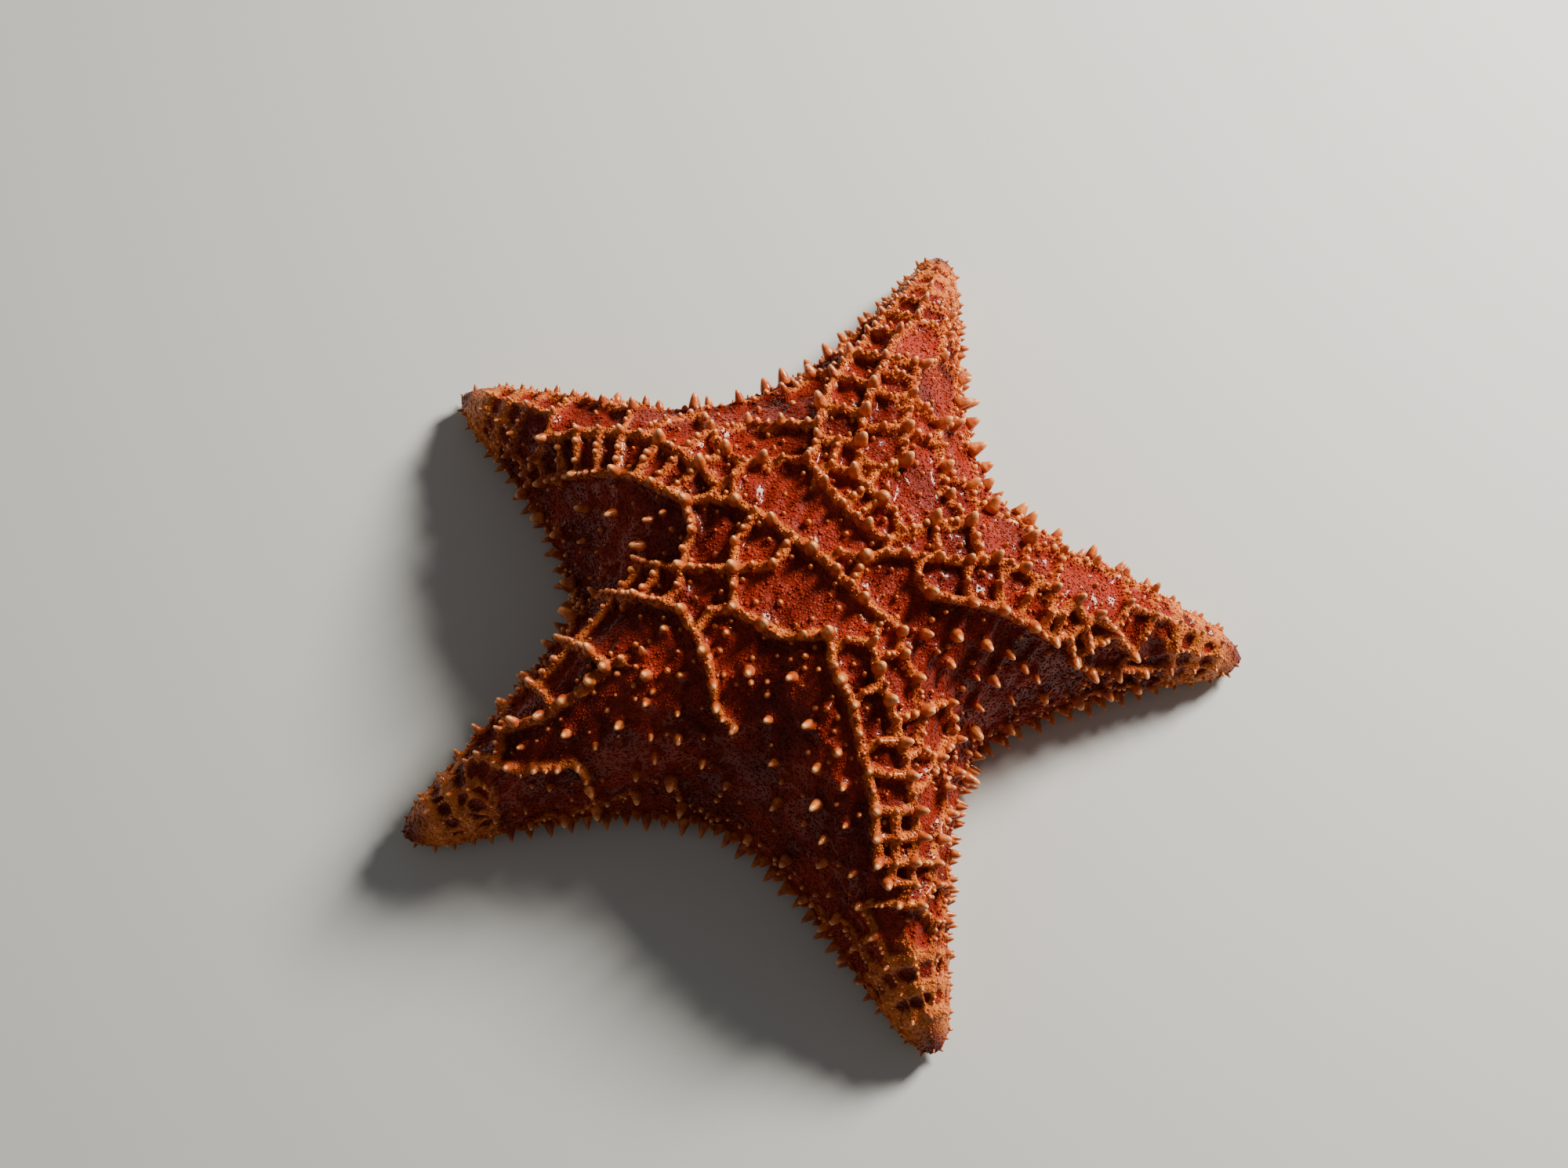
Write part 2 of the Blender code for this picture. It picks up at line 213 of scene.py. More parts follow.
def vault(half, share, out):
    """Height: a crest that falls by a power along the arm, vaulted to the margin by two powers."""
    fall = (crest(half, share) / length_of[half]) ** CREST_FALL
    top = blend(TIP_HEIGHT, DISC_HEIGHT, 1.0 - fall)
    rise, drop = blend(*VAULT_RISE, share), blend(*VAULT_DROP, share)
    return blend(AMBITUS, top, (1.0 - held(out) ** rise) ** drop)


def in_plan(half, along, across):
    """Place in plan: the way along the arm plus the way across it."""
    return along[..., None] * along_of[half] + across[..., None] * across_of[half]


def place(half, share, out, height):
    """Point of a section: straight from crest to margin in plan, shifted by the arm's bow."""
    rim_along, rim_across = margin(half, share)
    start = crest(half, share)
    along = start + (rim_along - start) * out
    plan = in_plan(half, along, rim_across * out + bowed(half, share)) + STAR_CENTRE
    return np.concatenate([plan, height[..., None]], axis=-1)


def run_along(points):
    """How far each point lies along its line: the lengths of the steps, added up."""
    steps = length(np.diff(points, axis=-2))
    return np.concatenate([0.0 * steps[..., :1], np.cumsum(steps, axis=-1)], axis=-1)


def section(half, share):
    """Points of sections of the upper skin from crest to margin, and the run over it to each."""
    out = np.linspace(0.0, 1.0, SECTION_POINTS) ** 0.5
    half, share = np.asarray(half)[..., None], share[:, None]
    line = place(half, share, out, vault(half, share, out))
    return line, run_along(line)


def over_skin(half, share, run=0.0):
    """Point at a run over the upper skin from the crest, and the whole run to the margin."""
    line, reach = section(half, share)
    run = np.clip(run, 0.0, reach[:, -1])
    after = np.clip((reach < run[:, None]).sum(1), 1, SECTION_POINTS - 1)
    rows = np.arange(len(share))
    part = (run - reach[rows, after - 1]) / (reach[rows, after] - reach[rows, after - 1])
    return blend(line[rows, after - 1], line[rows, after], part[:, None]), reach[:, -1]


def rolled_flat(half, share, run):
    """Upper skin rolled out: from the crest point, the run along the section's direction."""
    rim_along, rim_across = margin(half, share)
    start = crest(half, share)
    toward = unit(in_plan(half, rim_along - start, rim_across))
    return in_plan(half, start, bowed(half, share)) + toward * run[:, None]


# Skeleton plates under the upper skin. Those of the back stand at measured places; the others lie in
# rows along each arm and in straight rungs across it. Raised ropes of the skin bind neighbours.
# One entry a plate: half arm and kind as two digits, share in thousandths, run in tenths of a
# millimetre. Kind 0 is a large plate that stands alone, 3 a small one, 1 a rope's knob, 2 its link.
MEASURED_PLATES = (
    (41, 4, 9), (41, 142, 10), (21, 138, 20), (11, 117, 38), (81, 105, 38), (71, 130, 29), (42, 105, 14),
    (41, 71, 19), (42, 38, 13), (2, 4, 25), (1, 0, 75), (92, 4, 124), (91, 13, 163), (92, 13, 238),
    (91, 8, 311), (12, 25, 21), (11, 71, 4), (12, 88, 37), (72, 92, 96), (71, 54, 159), (72, 8, 242),
    (81, 50, 153), (62, 100, 57), (61, 46, 148), (51, 29, 178), (62, 38, 110), (61, 33, 62),
    (62, 42, 224), (61, 33, 326), (62, 13, 428), (51, 13, 504), (62, 100, 214), (61, 172, 89),
    (62, 167, 18), (51, 71, 234), (52, 25, 330), (62, 146, 188), (61, 121, 311), (62, 92, 439),
    (61, 50, 623), (62, 25, 775), (51, 42, 951), (42, 176, 30), (41, 201, 71), (42, 243, 75),
    (41, 289, 81), (42, 335, 68), (41, 389, 37), (42, 452, 6), (51, 485, 30), (52, 502, 67),
    (51, 527, 102), (52, 167, 36), (51, 159, 121), (52, 192, 121), (51, 226, 121), (52, 264, 123),
    (51, 293, 141), (52, 318, 179), (51, 347, 222), (52, 377, 263), (51, 414, 311), (42, 130, 98),
    (41, 121, 208), (41, 134, 299), (42, 134, 427), (42, 255, 207), (42, 88, 205), (41, 38, 273),
    (32, 13, 303), (31, 63, 196), (32, 109, 86), (22, 88, 104), (21, 42, 191), (12, 0, 274),
    (12, 63, 150), (11, 75, 238), (11, 126, 259), (32, 71, 133), (31, 75, 85), (32, 88, 30), (21, 75, 31),
    (22, 33, 109), (11, 4, 166), (12, 63, 95), (22, 172, 15), (31, 201, 9), (32, 222, 30), (31, 247, 41),
    (32, 276, 50), (31, 310, 53), (32, 347, 52), (31, 393, 43), (32, 439, 41), (31, 485, 38),
    (31, 109, 188), (32, 126, 218), (31, 155, 236), (32, 192, 246), (31, 234, 242), (32, 280, 233),
    (31, 326, 225), (32, 151, 100), (32, 201, 131), (32, 268, 144), (21, 105, 223), (22, 151, 187),
    (21, 197, 156), (22, 243, 135), (21, 289, 116), (22, 335, 106), (21, 385, 97), (22, 117, 122),
    (22, 222, 60), (22, 305, 31), (21, 184, 325), (22, 121, 376), (21, 59, 436), (31, 46, 389),
    (31, 100, 495), (41, 25, 475), (12, 146, 29), (11, 172, 31), (12, 197, 32), (11, 222, 35),
    (12, 238, 47), (11, 255, 61), (12, 285, 49), (11, 318, 39), (12, 364, 6), (1, 393, 17), (1, 431, 43),
    (2, 126, 61), (1, 117, 135), (2, 142, 150), (1, 180, 148), (2, 205, 152), (1, 234, 154),
    (2, 255, 176), (1, 280, 191), (2, 297, 209), (1, 322, 221), (1, 360, 287), (1, 410, 325),
    (2, 205, 64), (2, 272, 44), (2, 314, 74), (2, 343, 117), (0, 33, 332), (0, 92, 314), (0, 142, 331),
    (0, 184, 350), (0, 33, 454), (0, 109, 497), (0, 230, 443), (0, 134, 593), (0, 33, 659), (82, 130, 39),
    (81, 151, 47), (81, 180, 32), (82, 209, 16), (81, 238, 0), (82, 259, 5), (81, 280, 12), (82, 314, 9),
    (81, 347, 4), (82, 381, 7), (81, 414, 12), (81, 456, 29), (81, 498, 40), (81, 548, 24), (81, 607, 2),
    (92, 121, 39), (91, 88, 143), (92, 109, 140), (91, 130, 141), (92, 155, 143), (91, 180, 145),
    (92, 209, 157), (91, 247, 159), (92, 276, 155), (91, 310, 147), (92, 343, 145), (91, 377, 143),
    (91, 435, 129), (91, 506, 66), (92, 201, 51), (92, 280, 59), (92, 226, 251), (92, 339, 58),
    (92, 285, 256), (92, 406, 53), (92, 464, 37), (91, 556, 52), (91, 75, 328), (91, 134, 319),
    (91, 197, 371), (91, 243, 407), (91, 297, 405), (91, 393, 280), (91, 42, 526), (91, 92, 569),
    (91, 54, 284), (80, 63, 249), (80, 155, 216), (80, 255, 116), (80, 226, 219), (80, 310, 122),
    (80, 268, 262), (80, 335, 259), (80, 368, 296), (80, 460, 149), (72, 201, 25), (71, 163, 122),
    (72, 138, 194), (71, 117, 263), (71, 92, 359), (72, 63, 430), (71, 29, 496), (61, 343, 51),
    (60, 293, 18), (70, 285, 73), (70, 268, 166), (70, 42, 312), (80, 46, 413), (80, 105, 435),
    (70, 79, 574), (70, 159, 398), (70, 209, 413), (70, 255, 436), (70, 326, 181), (70, 385, 183),
    (80, 155, 485), (70, 126, 109), (50, 121, 291), (50, 176, 337), (50, 234, 377), (50, 84, 560),
    (50, 25, 638), (50, 142, 555), (50, 59, 427), (51, 669, 273), (51, 506, 200), (51, 649, 115),
    (2, 377, 105), (2, 368, 191), (2, 427, 121), (2, 418, 214), (1, 469, 77), (1, 510, 113),
    (1, 561, 175), (92, 519, 10), (91, 469, 199), (91, 527, 167), (91, 603, 51), (61, 385, 39),
    (62, 427, 23), (61, 456, 25), (62, 481, 26), (61, 510, 27), (62, 531, 33), (61, 552, 55),
    (61, 586, 66), (71, 435, 196), (71, 490, 158), (72, 523, 129), (71, 556, 97), (72, 598, 78),
    (71, 628, 40), (72, 661, 7), (61, 674, 36), (61, 711, 52), (70, 469, 72), (73, 590, 14),
    (73, 515, 213), (73, 598, 234), (71, 703, 44), (71, 699, 100), (71, 757, 20), (71, 778, 171),
    (71, 728, 224), (61, 222, 452), (62, 259, 310), (61, 310, 145), (62, 322, 34), (61, 418, 204),
    (62, 448, 101), (73, 201, 154), (73, 180, 291), (73, 234, 312), (73, 96, 456), (63, 226, 54),
    (3, 205, 405), (3, 71, 502), (3, 25, 408), (53, 134, 226), (83, 75, 164), (83, 180, 122),
    (83, 439, 292), (83, 368, 145),
)
MEASURED_ROW = 9
ROW_SPACING = 0.0132
FIRST_ROW = 0.008
NOTCH_ROWS = range(1, 6)
TIP_ROWS = 3.6
RIM_ROOM = 0.48
LEAST_RIM_ROOM = 0.006
ROWS = 8
RUNG_SPACING = 0.0124
FIRST_RUNG = 0.014
RUNG_CLOSING = 0.55
RUNG_SECTIONS = 80
# The lowest row: its shares, its height over the margin, how strongly it is bound, its room
LOW_SHARES = np.arange(0.03, 0.72, 0.105)
LOW_HEIGHT = 0.009
LOW_BOUND = 0.4
LOW_ROOM = 0.0105
CLEARANCE = 0.74
LONE_BOUND = 0.12
RIM_BOUND = 0.6
MAIN_BOUND = 1.2
BOUND_BY_ROW = ([2, 3, 5], [1.0, 0.75, 0.5])
NEAR_TIP = ([0.62, 0.74], [0.0, 1.0])
RUN_SCATTER = 0.0011
SHARE_SCATTER = 0.01
RIM_SPACING = 0.0118
RIM_POINTS = 201
WELD = 0.000001
chance = np.random.default_rng(5)


def rung(half, ahead):
    """Shares, runs and ways of a line straight across an arm, and if it meets the margin."""
    share = np.linspace(0.0, 1.0, RUNG_SECTIONS)
    line, reach = section(half, share)
    forward = (line[..., :2] - STAR_CENTRE) @ along_of[half]
    columns = np.flatnonzero((forward[0] <= ahead) & (ahead <= forward[-1]))
    table = np.dstack([share[:, None] + 0.0 * reach, reach, line])
    at = np.array([[np.interp(ahead, forward[:, k], table[:, k, c]) for c in range(5)] for k in columns])
    return at[:, 0], at[:, 1], run_along(at[:, 2:]), columns[-1] + 1 == SECTION_POINTS


# Columns: half arm, share, run, row, how strongly it is bound, room that it needs round it, kind
wanted = []
for digits, thousandths, tenths in MEASURED_PLATES:
    half, kind = divmod(digits, 10)
    run = tenths / 10.0
    bound = MAIN_BOUND * (kind in (1, 2))
    wanted.append((half, thousandths / 1000.0, run / 1000.0, run // MEASURED_ROW, bound, 0.0, kind))
for half in range(10):
    if half % 2:
        wanted += [(half, 0.0, row * ROW_SPACING + FIRST_ROW, row, 1.0, ROW_SPACING, 1) for row in NOTCH_ROWS]
    ahead, gap = FIRST_RUNG, RUNG_SPACING
    while ahead < length_of[half] - TIP_LAG - gap / 4.0:
        share, run, way, to_margin = rung(half, ahead)
        step = min(ROW_SPACING, way[-1] / TIP_ROWS) if to_margin else ROW_SPACING
        for row in range(1 - half % 2, ROWS):
            if row * step <= way[-1]:
                found = (np.interp(row * step, way, share), np.interp(row * step, way, run))
                wanted.append((half, *found, row, np.interp(row, *BOUND_BY_ROW), min(step, gap), 1))
        gap = RUNG_SPACING * (1.0 - RUNG_CLOSING * (ahead / length_of[half]) ** 2)
        ahead += gap
    low_run = over_skin(half, LOW_SHARES)[1] - LOW_HEIGHT
    wanted += [(half, share, run, 6, LOW_BOUND, LOW_ROOM, 3) for share, run in zip(LOW_SHARES, low_run)]
wanted = np.array(wanted)
loose = chance.uniform(-1.0, 1.0, (2, len(wanted))) * ((wanted[:, 3] > 0) & (wanted[:, 5] > 0.0))
shares = wanted[:, 1]
wanted[:, 2] += RUN_SCATTER * loose[0] * (1.0 - 0.5 * shares)
wanted[:, 1] = held(shares + SHARE_SCATTER * loose[1] * (shares > 0.0) * (1.0 - shares))
wanted_at, wanted_whole = over_skin(wanted[:, 0].astype(int), wanted[:, 1], wanted[:, 2])
kept = []
for k, (run, room) in enumerate(wanted[:, [2, 5]]):
    near = length(wanted_at[kept] - wanted_at[k]).min() if kept else 1.0
    if near > CLEARANCE * room and wanted_whole[k] > run + RIM_ROOM * max(room, LEAST_RIM_ROOM):
        kept.append(k)
plates = wanted[kept]
plate_half, plate_row, plate_kind = plates[:, [0, 3, 6]].astype(int).T
plate_share = plates[:, 1]
plate_bound = np.maximum(plates[:, 4], np.interp(plate_share, *NEAR_TIP))
plate_at = wanted_at[kept]
plate_flat = rolled_flat(plate_half, plate_share, plates[:, 2])


def margin_line(half, count):
    """Shares and points along the margin of a half arm, and the way from the notch to each."""
    share = np.linspace(0.0, 1.0, count)
    edge = place(half, share, 1.0, 0.0 * share + AMBITUS)
    return share, edge, run_along(edge)


def rim_marks(arm):
    """Shares of nearly even points along the margin, alike on both sides of the arm."""
    share, _, way = margin_line(2 * arm + 1, RIM_POINTS)
    count = round(way[-1] / RIM_SPACING)
    return np.interp(np.linspace(0.0, way[-1], count + 1), way, share)


rim_lines = [rim_marks(half // 2)[::-1 if half % 2 else 1][:-1] for half in range(10)]
rim_half = np.repeat(np.arange(10), [len(line) for line in rim_lines])
rim_share = np.concatenate(rim_lines)
rim_count = len(rim_half)
rim_at = place(rim_half, rim_share, 1.0, 0.0 * rim_share + AMBITUS)
rim_flat = rolled_flat(rim_half, rim_share, over_skin(rim_half, rim_share)[1])

knot_at = np.vstack([plate_at, rim_at])
knot_flat = np.vstack([plate_flat, rim_flat])
knot_share = np.concatenate([plate_share, rim_share])
knot_bound = np.append(plate_bound, np.full(rim_count, RIM_BOUND))
knot_count = len(knot_at)
rim_ids = list(range(len(plates), knot_count))
web = delaunay_2d_cdt([Vector(knot) for knot in knot_flat], [], [rim_ids], 1, WELD)
source = np.array([found[0] for found in web[3]])
meshes = source[np.array(web[2])]
apart = length(knot_at[:, None] - knot_at)


def rope_strength(first, second):
    """Plates are bound unless a third is nearer to both; lone ones are bound faintly."""
    free = np.maximum(apart[first], apart[second]).min(1) > apart[first, second] - 0.00001
    plain = (first < len(plates)) | (second < len(plates))
    strength = np.maximum(np.minimum(knot_bound[first], knot_bound[second]), LONE_BOUND)
    return np.where(free & plain, strength, 0.0)


# The skin itself: leathery, wet, one closed surface. Every mesh of the web is a fine triangle grid,
# puffed to the curve of the body; ropes stand up along its bound edges and the cells between lie low.
FINENESS = 9
GRID_POWER = 1.35
PUFF = 0.75
ROPE_HALF_WIDTH = 0.0014
ROPE_WIDTH_OUT = ([0.6, 0.8, 1.0], [1.0, 1.25, 1.1])
ROPE_WIDTH_BOUND = ([0.5, 1.0, MAIN_BOUND], [0.9, 1.0, 1.2])
ROPE_RISE = 0.0013
CELL_SINK = 0.0013
RIM_CELL_SINK = 0.4
DEPTH_OUT = ([0.62, 0.76], [1.0, 0.5])
SPOT_RADIUS = 0.0036
SPOT_OUT = ([0.6, 0.95], [1.1, 0.5])
SPOT_POWER = 5
SWELL_SPREAD = 0.0018
SWELL_RISE = 0.0009
# Unevenness, one line each: how much, size of its waves, seed
WANDER = (0.22, 0.006, 11)
ROUGH = (0.00025, 0.0045, 21)
LUMPS = (0.00055, 0.0062, 25)
WAVES = 6
FULL_TURN = 6.283
EDGE_CODES = 10 ** 6
INNER_CODES = 10 ** 12


def ripple(at, amount, size, seed):
    """Smooth unevenness up to about an amount: the mean of sine waves in directions drawn once."""
    waves = unit(np.random.default_rng(seed).normal(size=(WAVES, 3)))
    phases = np.random.default_rng(seed + 1).uniform(0.0, FULL_TURN, WAVES)
    return amount * 1.6 * np.sin(at @ waves.T * (FULL_TURN / size) + phases).mean(-1)


def face_cross(corners):
    """Square to each triangle, twice its area long: the cross product of two sides."""
    return np.cross(corners[:, 1] - corners[:, 0], corners[:, 2] - corners[:, 0])


def corner_normals(at, triangles):
    """Normals at points: the sum of the cross products of the triangles around each."""
    total = np.zeros_like(at)
    for k in range(3):
        np.add.at(total, triangles[:, k], face_cross(at[triangles]))
    return unit(total)


def dome(distance, width):
    """Half a round: the root of 1 less the square of the distance over the width."""
    return np.sqrt(held(1.0 - (distance / width) ** 2))


def mound(distance, spread):
    """Bell shape: e to the power of minus the square of the distance over the spread."""
    return np.exp(-(distance / spread) ** 2)


# All meshes are wound the same way round
turned = face_cross(np.pad(knot_flat, ((0, 0), (0, 1)))[meshes])[:, 2] < 0.0
meshes[turned] = meshes[turned][:, ::-1]
knot_normal = corner_normals(knot_at, meshes)

steps = range(FINENESS + 1)
grid = np.array([(i, j, FINENESS - i - j) for i in steps for j in steps if i + j <= FINENESS])
weight = (grid / FINENESS) ** GRID_POWER
weight /= weight.sum(1)[:, None]
corner = knot_at[meshes]
corner_normal = knot_normal[meshes]
flat_point = np.einsum("pk,tkc->tpc", weight, corner)
away = np.einsum("tpkc,tkc->tpk", flat_point[:, :, None] - corner[:, None], corner_normal)
tangent_mean = flat_point - np.einsum("pk,tpk,tkc->tpc", weight, away, corner_normal)
point = blend(flat_point, tangent_mean, PUFF)
normal = unit(np.einsum("pk,tkc->tpc", weight, corner_normal))
unwrap = np.einsum("pk,tkc->tpc", weight, knot_flat[meshes])
reach = np.einsum("pk,tk->tp", weight, knot_share[meshes])

opposite = length(corner[:, [2, 0, 1]] - corner[:, [1, 2, 0]])
over_edge = weight * (length(face_cross(corner))[:, None] / opposite)[:, None]
bound = np.stack([rope_strength(meshes[:, k - 2], meshes[:, k - 1]) for k in range(3)], axis=1)
tied = np.zeros(knot_count)
for k in range(3):
    for end in (k - 2, k - 1):
        np.maximum.at(tied, meshes[:, end], bound[:, k])
broad = ROPE_HALF_WIDTH * (1.0 + ripple(point, *WANDER)) * np.interp(reach, *ROPE_WIDTH_OUT)
stout = np.interp(bound, *ROPE_WIDTH_BOUND)[:, None, :]
to_corner = length(point[:, :, None] - corner[:, None])
rope = (bound[:, None, :] * dome(over_edge, broad[..., None] * stout)).max(2)
rope = np.maximum(rope, (tied[meshes][:, None, :] * dome(to_corner, broad[..., None])).max(2))

# Near the tips the ropes fill everything but one round spot by the loosest edge of each mesh
loosest = bound.argmin(1)
every = np.arange(len(meshes))
spot = (corner[every, loosest - 2] + corner[every, loosest - 1]) / 2.0
spot_share = length(point - spot[:, None]) / (SPOT_RADIUS * np.interp(reach, *SPOT_OUT))
hole = 1.0 - held(spot_share) ** SPOT_POWER
is_plate = meshes < len(plates)
hole *= is_plate.all(1)[:, None]
rope = blend(rope, 1.0 - hole, np.interp(reach, *NEAR_TIP))
swell = (is_plate[:, None, :] * mound(to_corner, SWELL_SPREAD)).max(2)
cell = (1.0 - rope) * (1.0 - swell) * np.where(is_plate.all(1), 1.0, RIM_CELL_SINK)[:, None]
lift = np.interp(reach, *DEPTH_OUT) * (ROPE_RISE * rope - CELL_SINK * cell)
lift += SWELL_RISE * swell + ripple(point, *ROUGH) + ripple(point, *LUMPS) * cell


def edge_codes(one, other, steps):
    """Numbers of grid points between two knots, counted in steps: alike from both sides."""
    low, high = np.minimum(one, other), np.maximum(one, other)
    from_high = np.where(one < other, steps, FINENESS - steps)
    return (low * knot_count + high) * (FINENESS + 1) + from_high + EDGE_CODES


# Grid points that neighbouring meshes share get one number each
code = INNER_CODES + np.arange(len(meshes) * len(grid)).reshape(-1, len(grid))
for k in range(3):
    on_edge = np.flatnonzero(grid[:, k] == 0)
    ends = meshes[:, k - 2][:, None], meshes[:, k - 1][:, None]
    code[:, on_edge] = edge_codes(*ends, grid[on_edge, k - 2])
for k in range(3):
    code[:, np.flatnonzero(grid[:, k] == FINENESS)] = meshes[:, k][:, None]
known_codes, first_use, number_of = np.unique(code.ravel(), return_index=True, return_inverse=True)
number_of = number_of.reshape(code.shape)
upper_count = len(first_use)
uses = np.bincount(number_of.ravel(), minlength=upper_count)


def mean_over_uses(values):
    """One value a shared point: the mean of those that its meshes give it."""
    return np.bincount(number_of.ravel(), values.ravel(), upper_count) / uses


upper_normal = normal.reshape(-1, 3)[first_use]
upper_point = point.reshape(-1, 3)[first_use] + upper_normal * mean_over_uses(lift)[:, None]
upper_unwrap = unwrap.reshape(-1, 2)[first_use]
upper_rope = mean_over_uses(rope)
upper_reach = reach.ravel()[first_use]

slot_of = -np.ones((FINENESS + 1, FINENESS + 1), dtype=int)
slot_of[grid[:, 0], grid[:, 1]] = np.arange(len(grid))
i, j = grid[grid[:, 2] > 0, :2].T
pointing = np.column_stack([slot_of[i, j], slot_of[i + 1, j], slot_of[i, j + 1]])
i, j = grid[grid[:, 2] > 1, :2].T
hanging = np.column_stack([slot_of[i + 1, j], slot_of[i + 1, j + 1], slot_of[i, j + 1]])
upper_faces = number_of[:, np.vstack([pointing, hanging])].reshape(-1, 3)

# Swellings of the skin in the cells, where ropes and plates leave room, each under a small lone knob.
# Of points drawn at random those stay that have no earlier one within their room.
SMALL_TRIES = 4000
SMALL_ROPE = 0.15
SMALL_REACH = 0.66
SMALL_CLEAR = 0.0034
SMALL_ROOM = 0.0036
FLANK_SLOPE = 0.85
FLANK_ROOM = 1.9
SMALL_SPREAD = 0.0017
SMALL_RISE = 0.0006
SMALL_TINT = 0.62


def distances(first, second):
    """All distances from first to second points: the root of a squared + b squared - 2 a.b."""
    squared = (first ** 2).sum(1)[:, None] + (second ** 2).sum(1) - 2.0 * first @ second.T
    return np.sqrt(np.maximum(squared, 0.0))


free = np.flatnonzero((upper_rope < SMALL_ROPE) & (upper_reach < SMALL_REACH))
small = chance.permutation(free)[:SMALL_TRIES]
small = small[distances(upper_point[small], knot_at).min(1) > SMALL_CLEAR]
small_room = SMALL_ROOM * np.where(upper_normal[small, 2] > FLANK_SLOPE, 1.0, FLANK_ROOM)
crowd = distances(upper_point[small], upper_point[small]) < small_room[:, None]
small = small[~np.tril(crowd, -1).any(1)]
small_swell = mound(distances(upper_point, upper_point[small]).min(1), SMALL_SPREAD)
upper_point = upper_point + upper_normal * (SMALL_RISE * small_swell)[:, None]
upper_rope = np.maximum(upper_rope, SMALL_TINT * small_swell)

# The underside: a rounded rim, a flat sole and a groove along each arm that meet at the mouth. It
# grows from the rim of the upper skin, so that the whole skin is one closed surface.
UNDER_CURVE = 0.006
CURVE_PART = 0.15
CURVE_HEIGHT = 0.38
SOLE_PART = 0.55
GROOVE_HALF_WIDTH = 0.0045
GROOVE_DEPTH = 0.0065
GROOVE_LIMIT = 0.22
GROOVE_ROUND = math.sin(math.pi / 5.0)
LEAST_SLANT = 0.5
LEAST_FOOT = 0.35
LIP_PART = 1.15
WALL_PART = 0.8
SOLE_RISE = 0.0025
SOLE_CLEAR = 0.0006
GROOVE_SHUT = 0.86
UNDER_TINTS = (0.35, 0.75)
BAKE_SCALE = 1.0 / 0.72
THIRDS = (0.33, 0.33, 0.34)
columns = np.concatenate([[0.0], np.cumsum(2 * THIRDS + 10 * (0.2,) + 2 * THIRDS)])
hats = held(1.0 - np.abs(columns[:, None] - np.arange(7)))
for _ in range(2):
    hats[1:-1] = 0.25 * hats[:-2] + 0.5 * hats[1:-1] + 0.25 * hats[2:]


def under_controls(half, share):
    """Out and height of a lower section's lines: rim, curve, floor, sole, lip, wall and roof."""
    rim_along, rim_across = margin(half, share)
    width = np.hypot(rim_along - crest(half, share), rim_across)
    slant = blend(GROOVE_ROUND, rim_across / width, np.minimum(share * 8.0, 1.0))
    groove = np.minimum(GROOVE_HALF_WIDTH / (width * np.maximum(slant, LEAST_SLANT)), GROOVE_LIMIT)
    foot = np.clip(1.0 - UNDER_CURVE / width, LEAST_FOOT, 1.0)
    shut = held((share - GROOVE_SHUT) / (1.0 - GROOVE_SHUT))
    depth = GROOVE_DEPTH * (1.0 - shut * shut * (3.0 - 2.0 * shut))
    none, rim = 0.0 * share, 0.0 * share + AMBITUS
    curve, sole = 1.0 - CURVE_PART * (1.0 - foot), blend(groove, foot, SOLE_PART)
    out = [none + 1.0, curve, foot, sole, groove * LIP_PART, groove * WALL_PART, none]
    lip = depth * SOLE_RISE / GROOVE_DEPTH
    height = [rim, rim * CURVE_HEIGHT, none, none, lip, depth * WALL_PART, depth]
    return np.stack(out, axis=1), np.stack(height, axis=1) + SOLE_CLEAR


def upper_place(flat):
    """Place of the rolled out upper skin on the left of the bake map."""
    return flat * BAKE_SCALE + (0.25, 0.5)


def under_place(at):
    """Place of the underside on the right of the bake map: its plan."""
    return (at[:, :2] - STAR_CENTRE) * BAKE_SCALE + (0.75, 0.5)


def two_each(first, second, third, fourth):
    """Two triangles for each four points, split from the first to the third."""
    halves = (first, second, third), (first, third, fourth)
    return np.concatenate([np.stack(half, axis=-1).reshape(-1, 3) for half in halves])


steps = np.arange(FINENESS)
warp = (steps / FINENESS) ** GRID_POWER
warp = warp / (warp + (1.0 - steps / FINENESS) ** GRID_POWER)
section_half = np.repeat(rim_half, FINENESS)
section_share = (rim_share[:, None] * (1.0 - warp) + np.roll(rim_share, -1)[:, None] * warp).ravel()
from_knot = len(plates) + np.arange(rim_count)[:, None]
rim_codes = edge_codes(from_knot, np.roll(from_knot, -1), FINENESS - steps)
rim_codes[:, 0] = from_knot[:, 0]
rim_numbers = np.searchsorted(known_codes, rim_codes.ravel())

section_out, section_height = under_controls(section_half, section_share)
under_lines = section_out @ hats.T, section_height @ hats.T
under_point = place(section_half[:, None], section_share[:, None], *under_lines)
moved = upper_point[rim_numbers] - under_point[:, 0]
under_point += moved[:, None, :] * held(1.0 - columns / 2.0)[:, None]
under_point[..., 2] = np.maximum(under_point[..., 2], SOLE_CLEAR)

# The two sides of a groove share its roof line, and all five roofs share the point over the mouth
section_count = len(section_half)
arm = section_half // 2
arm_first = np.searchsorted(arm, np.arange(5))
local = np.arange(section_count) - arm_first[arm]
mirrored = np.minimum(local, np.bincount(arm)[arm] - local)
roof_key = np.where(mirrored == 0, 0, arm_first[arm] + mirrored)
_, roof_use, roof_number = np.unique(roof_key, return_index=True, return_inverse=True)
body_columns = len(columns) - 2
body_count = section_count * body_columns
body_number = upper_count + np.arange(body_count).reshape(section_count, body_columns)
here = np.column_stack([rim_numbers, body_number, upper_count + body_count + roof_number])
there = np.roll(here, -1, axis=0)
under_faces = two_each(here[:, :-1], here[:, 1:], there[:, 1:], there[:, :-1])
skin_point = np.vstack([upper_point, under_point[:, 1:-1].reshape(-1, 3), under_point[roof_use, -1]])
skin_face = np.vstack([upper_faces, under_faces])
skin_rope = np.pad(upper_rope, (0, len(skin_point) - upper_count))
skin_under = 1.0 * (np.arange(len(skin_point)) >= upper_count)
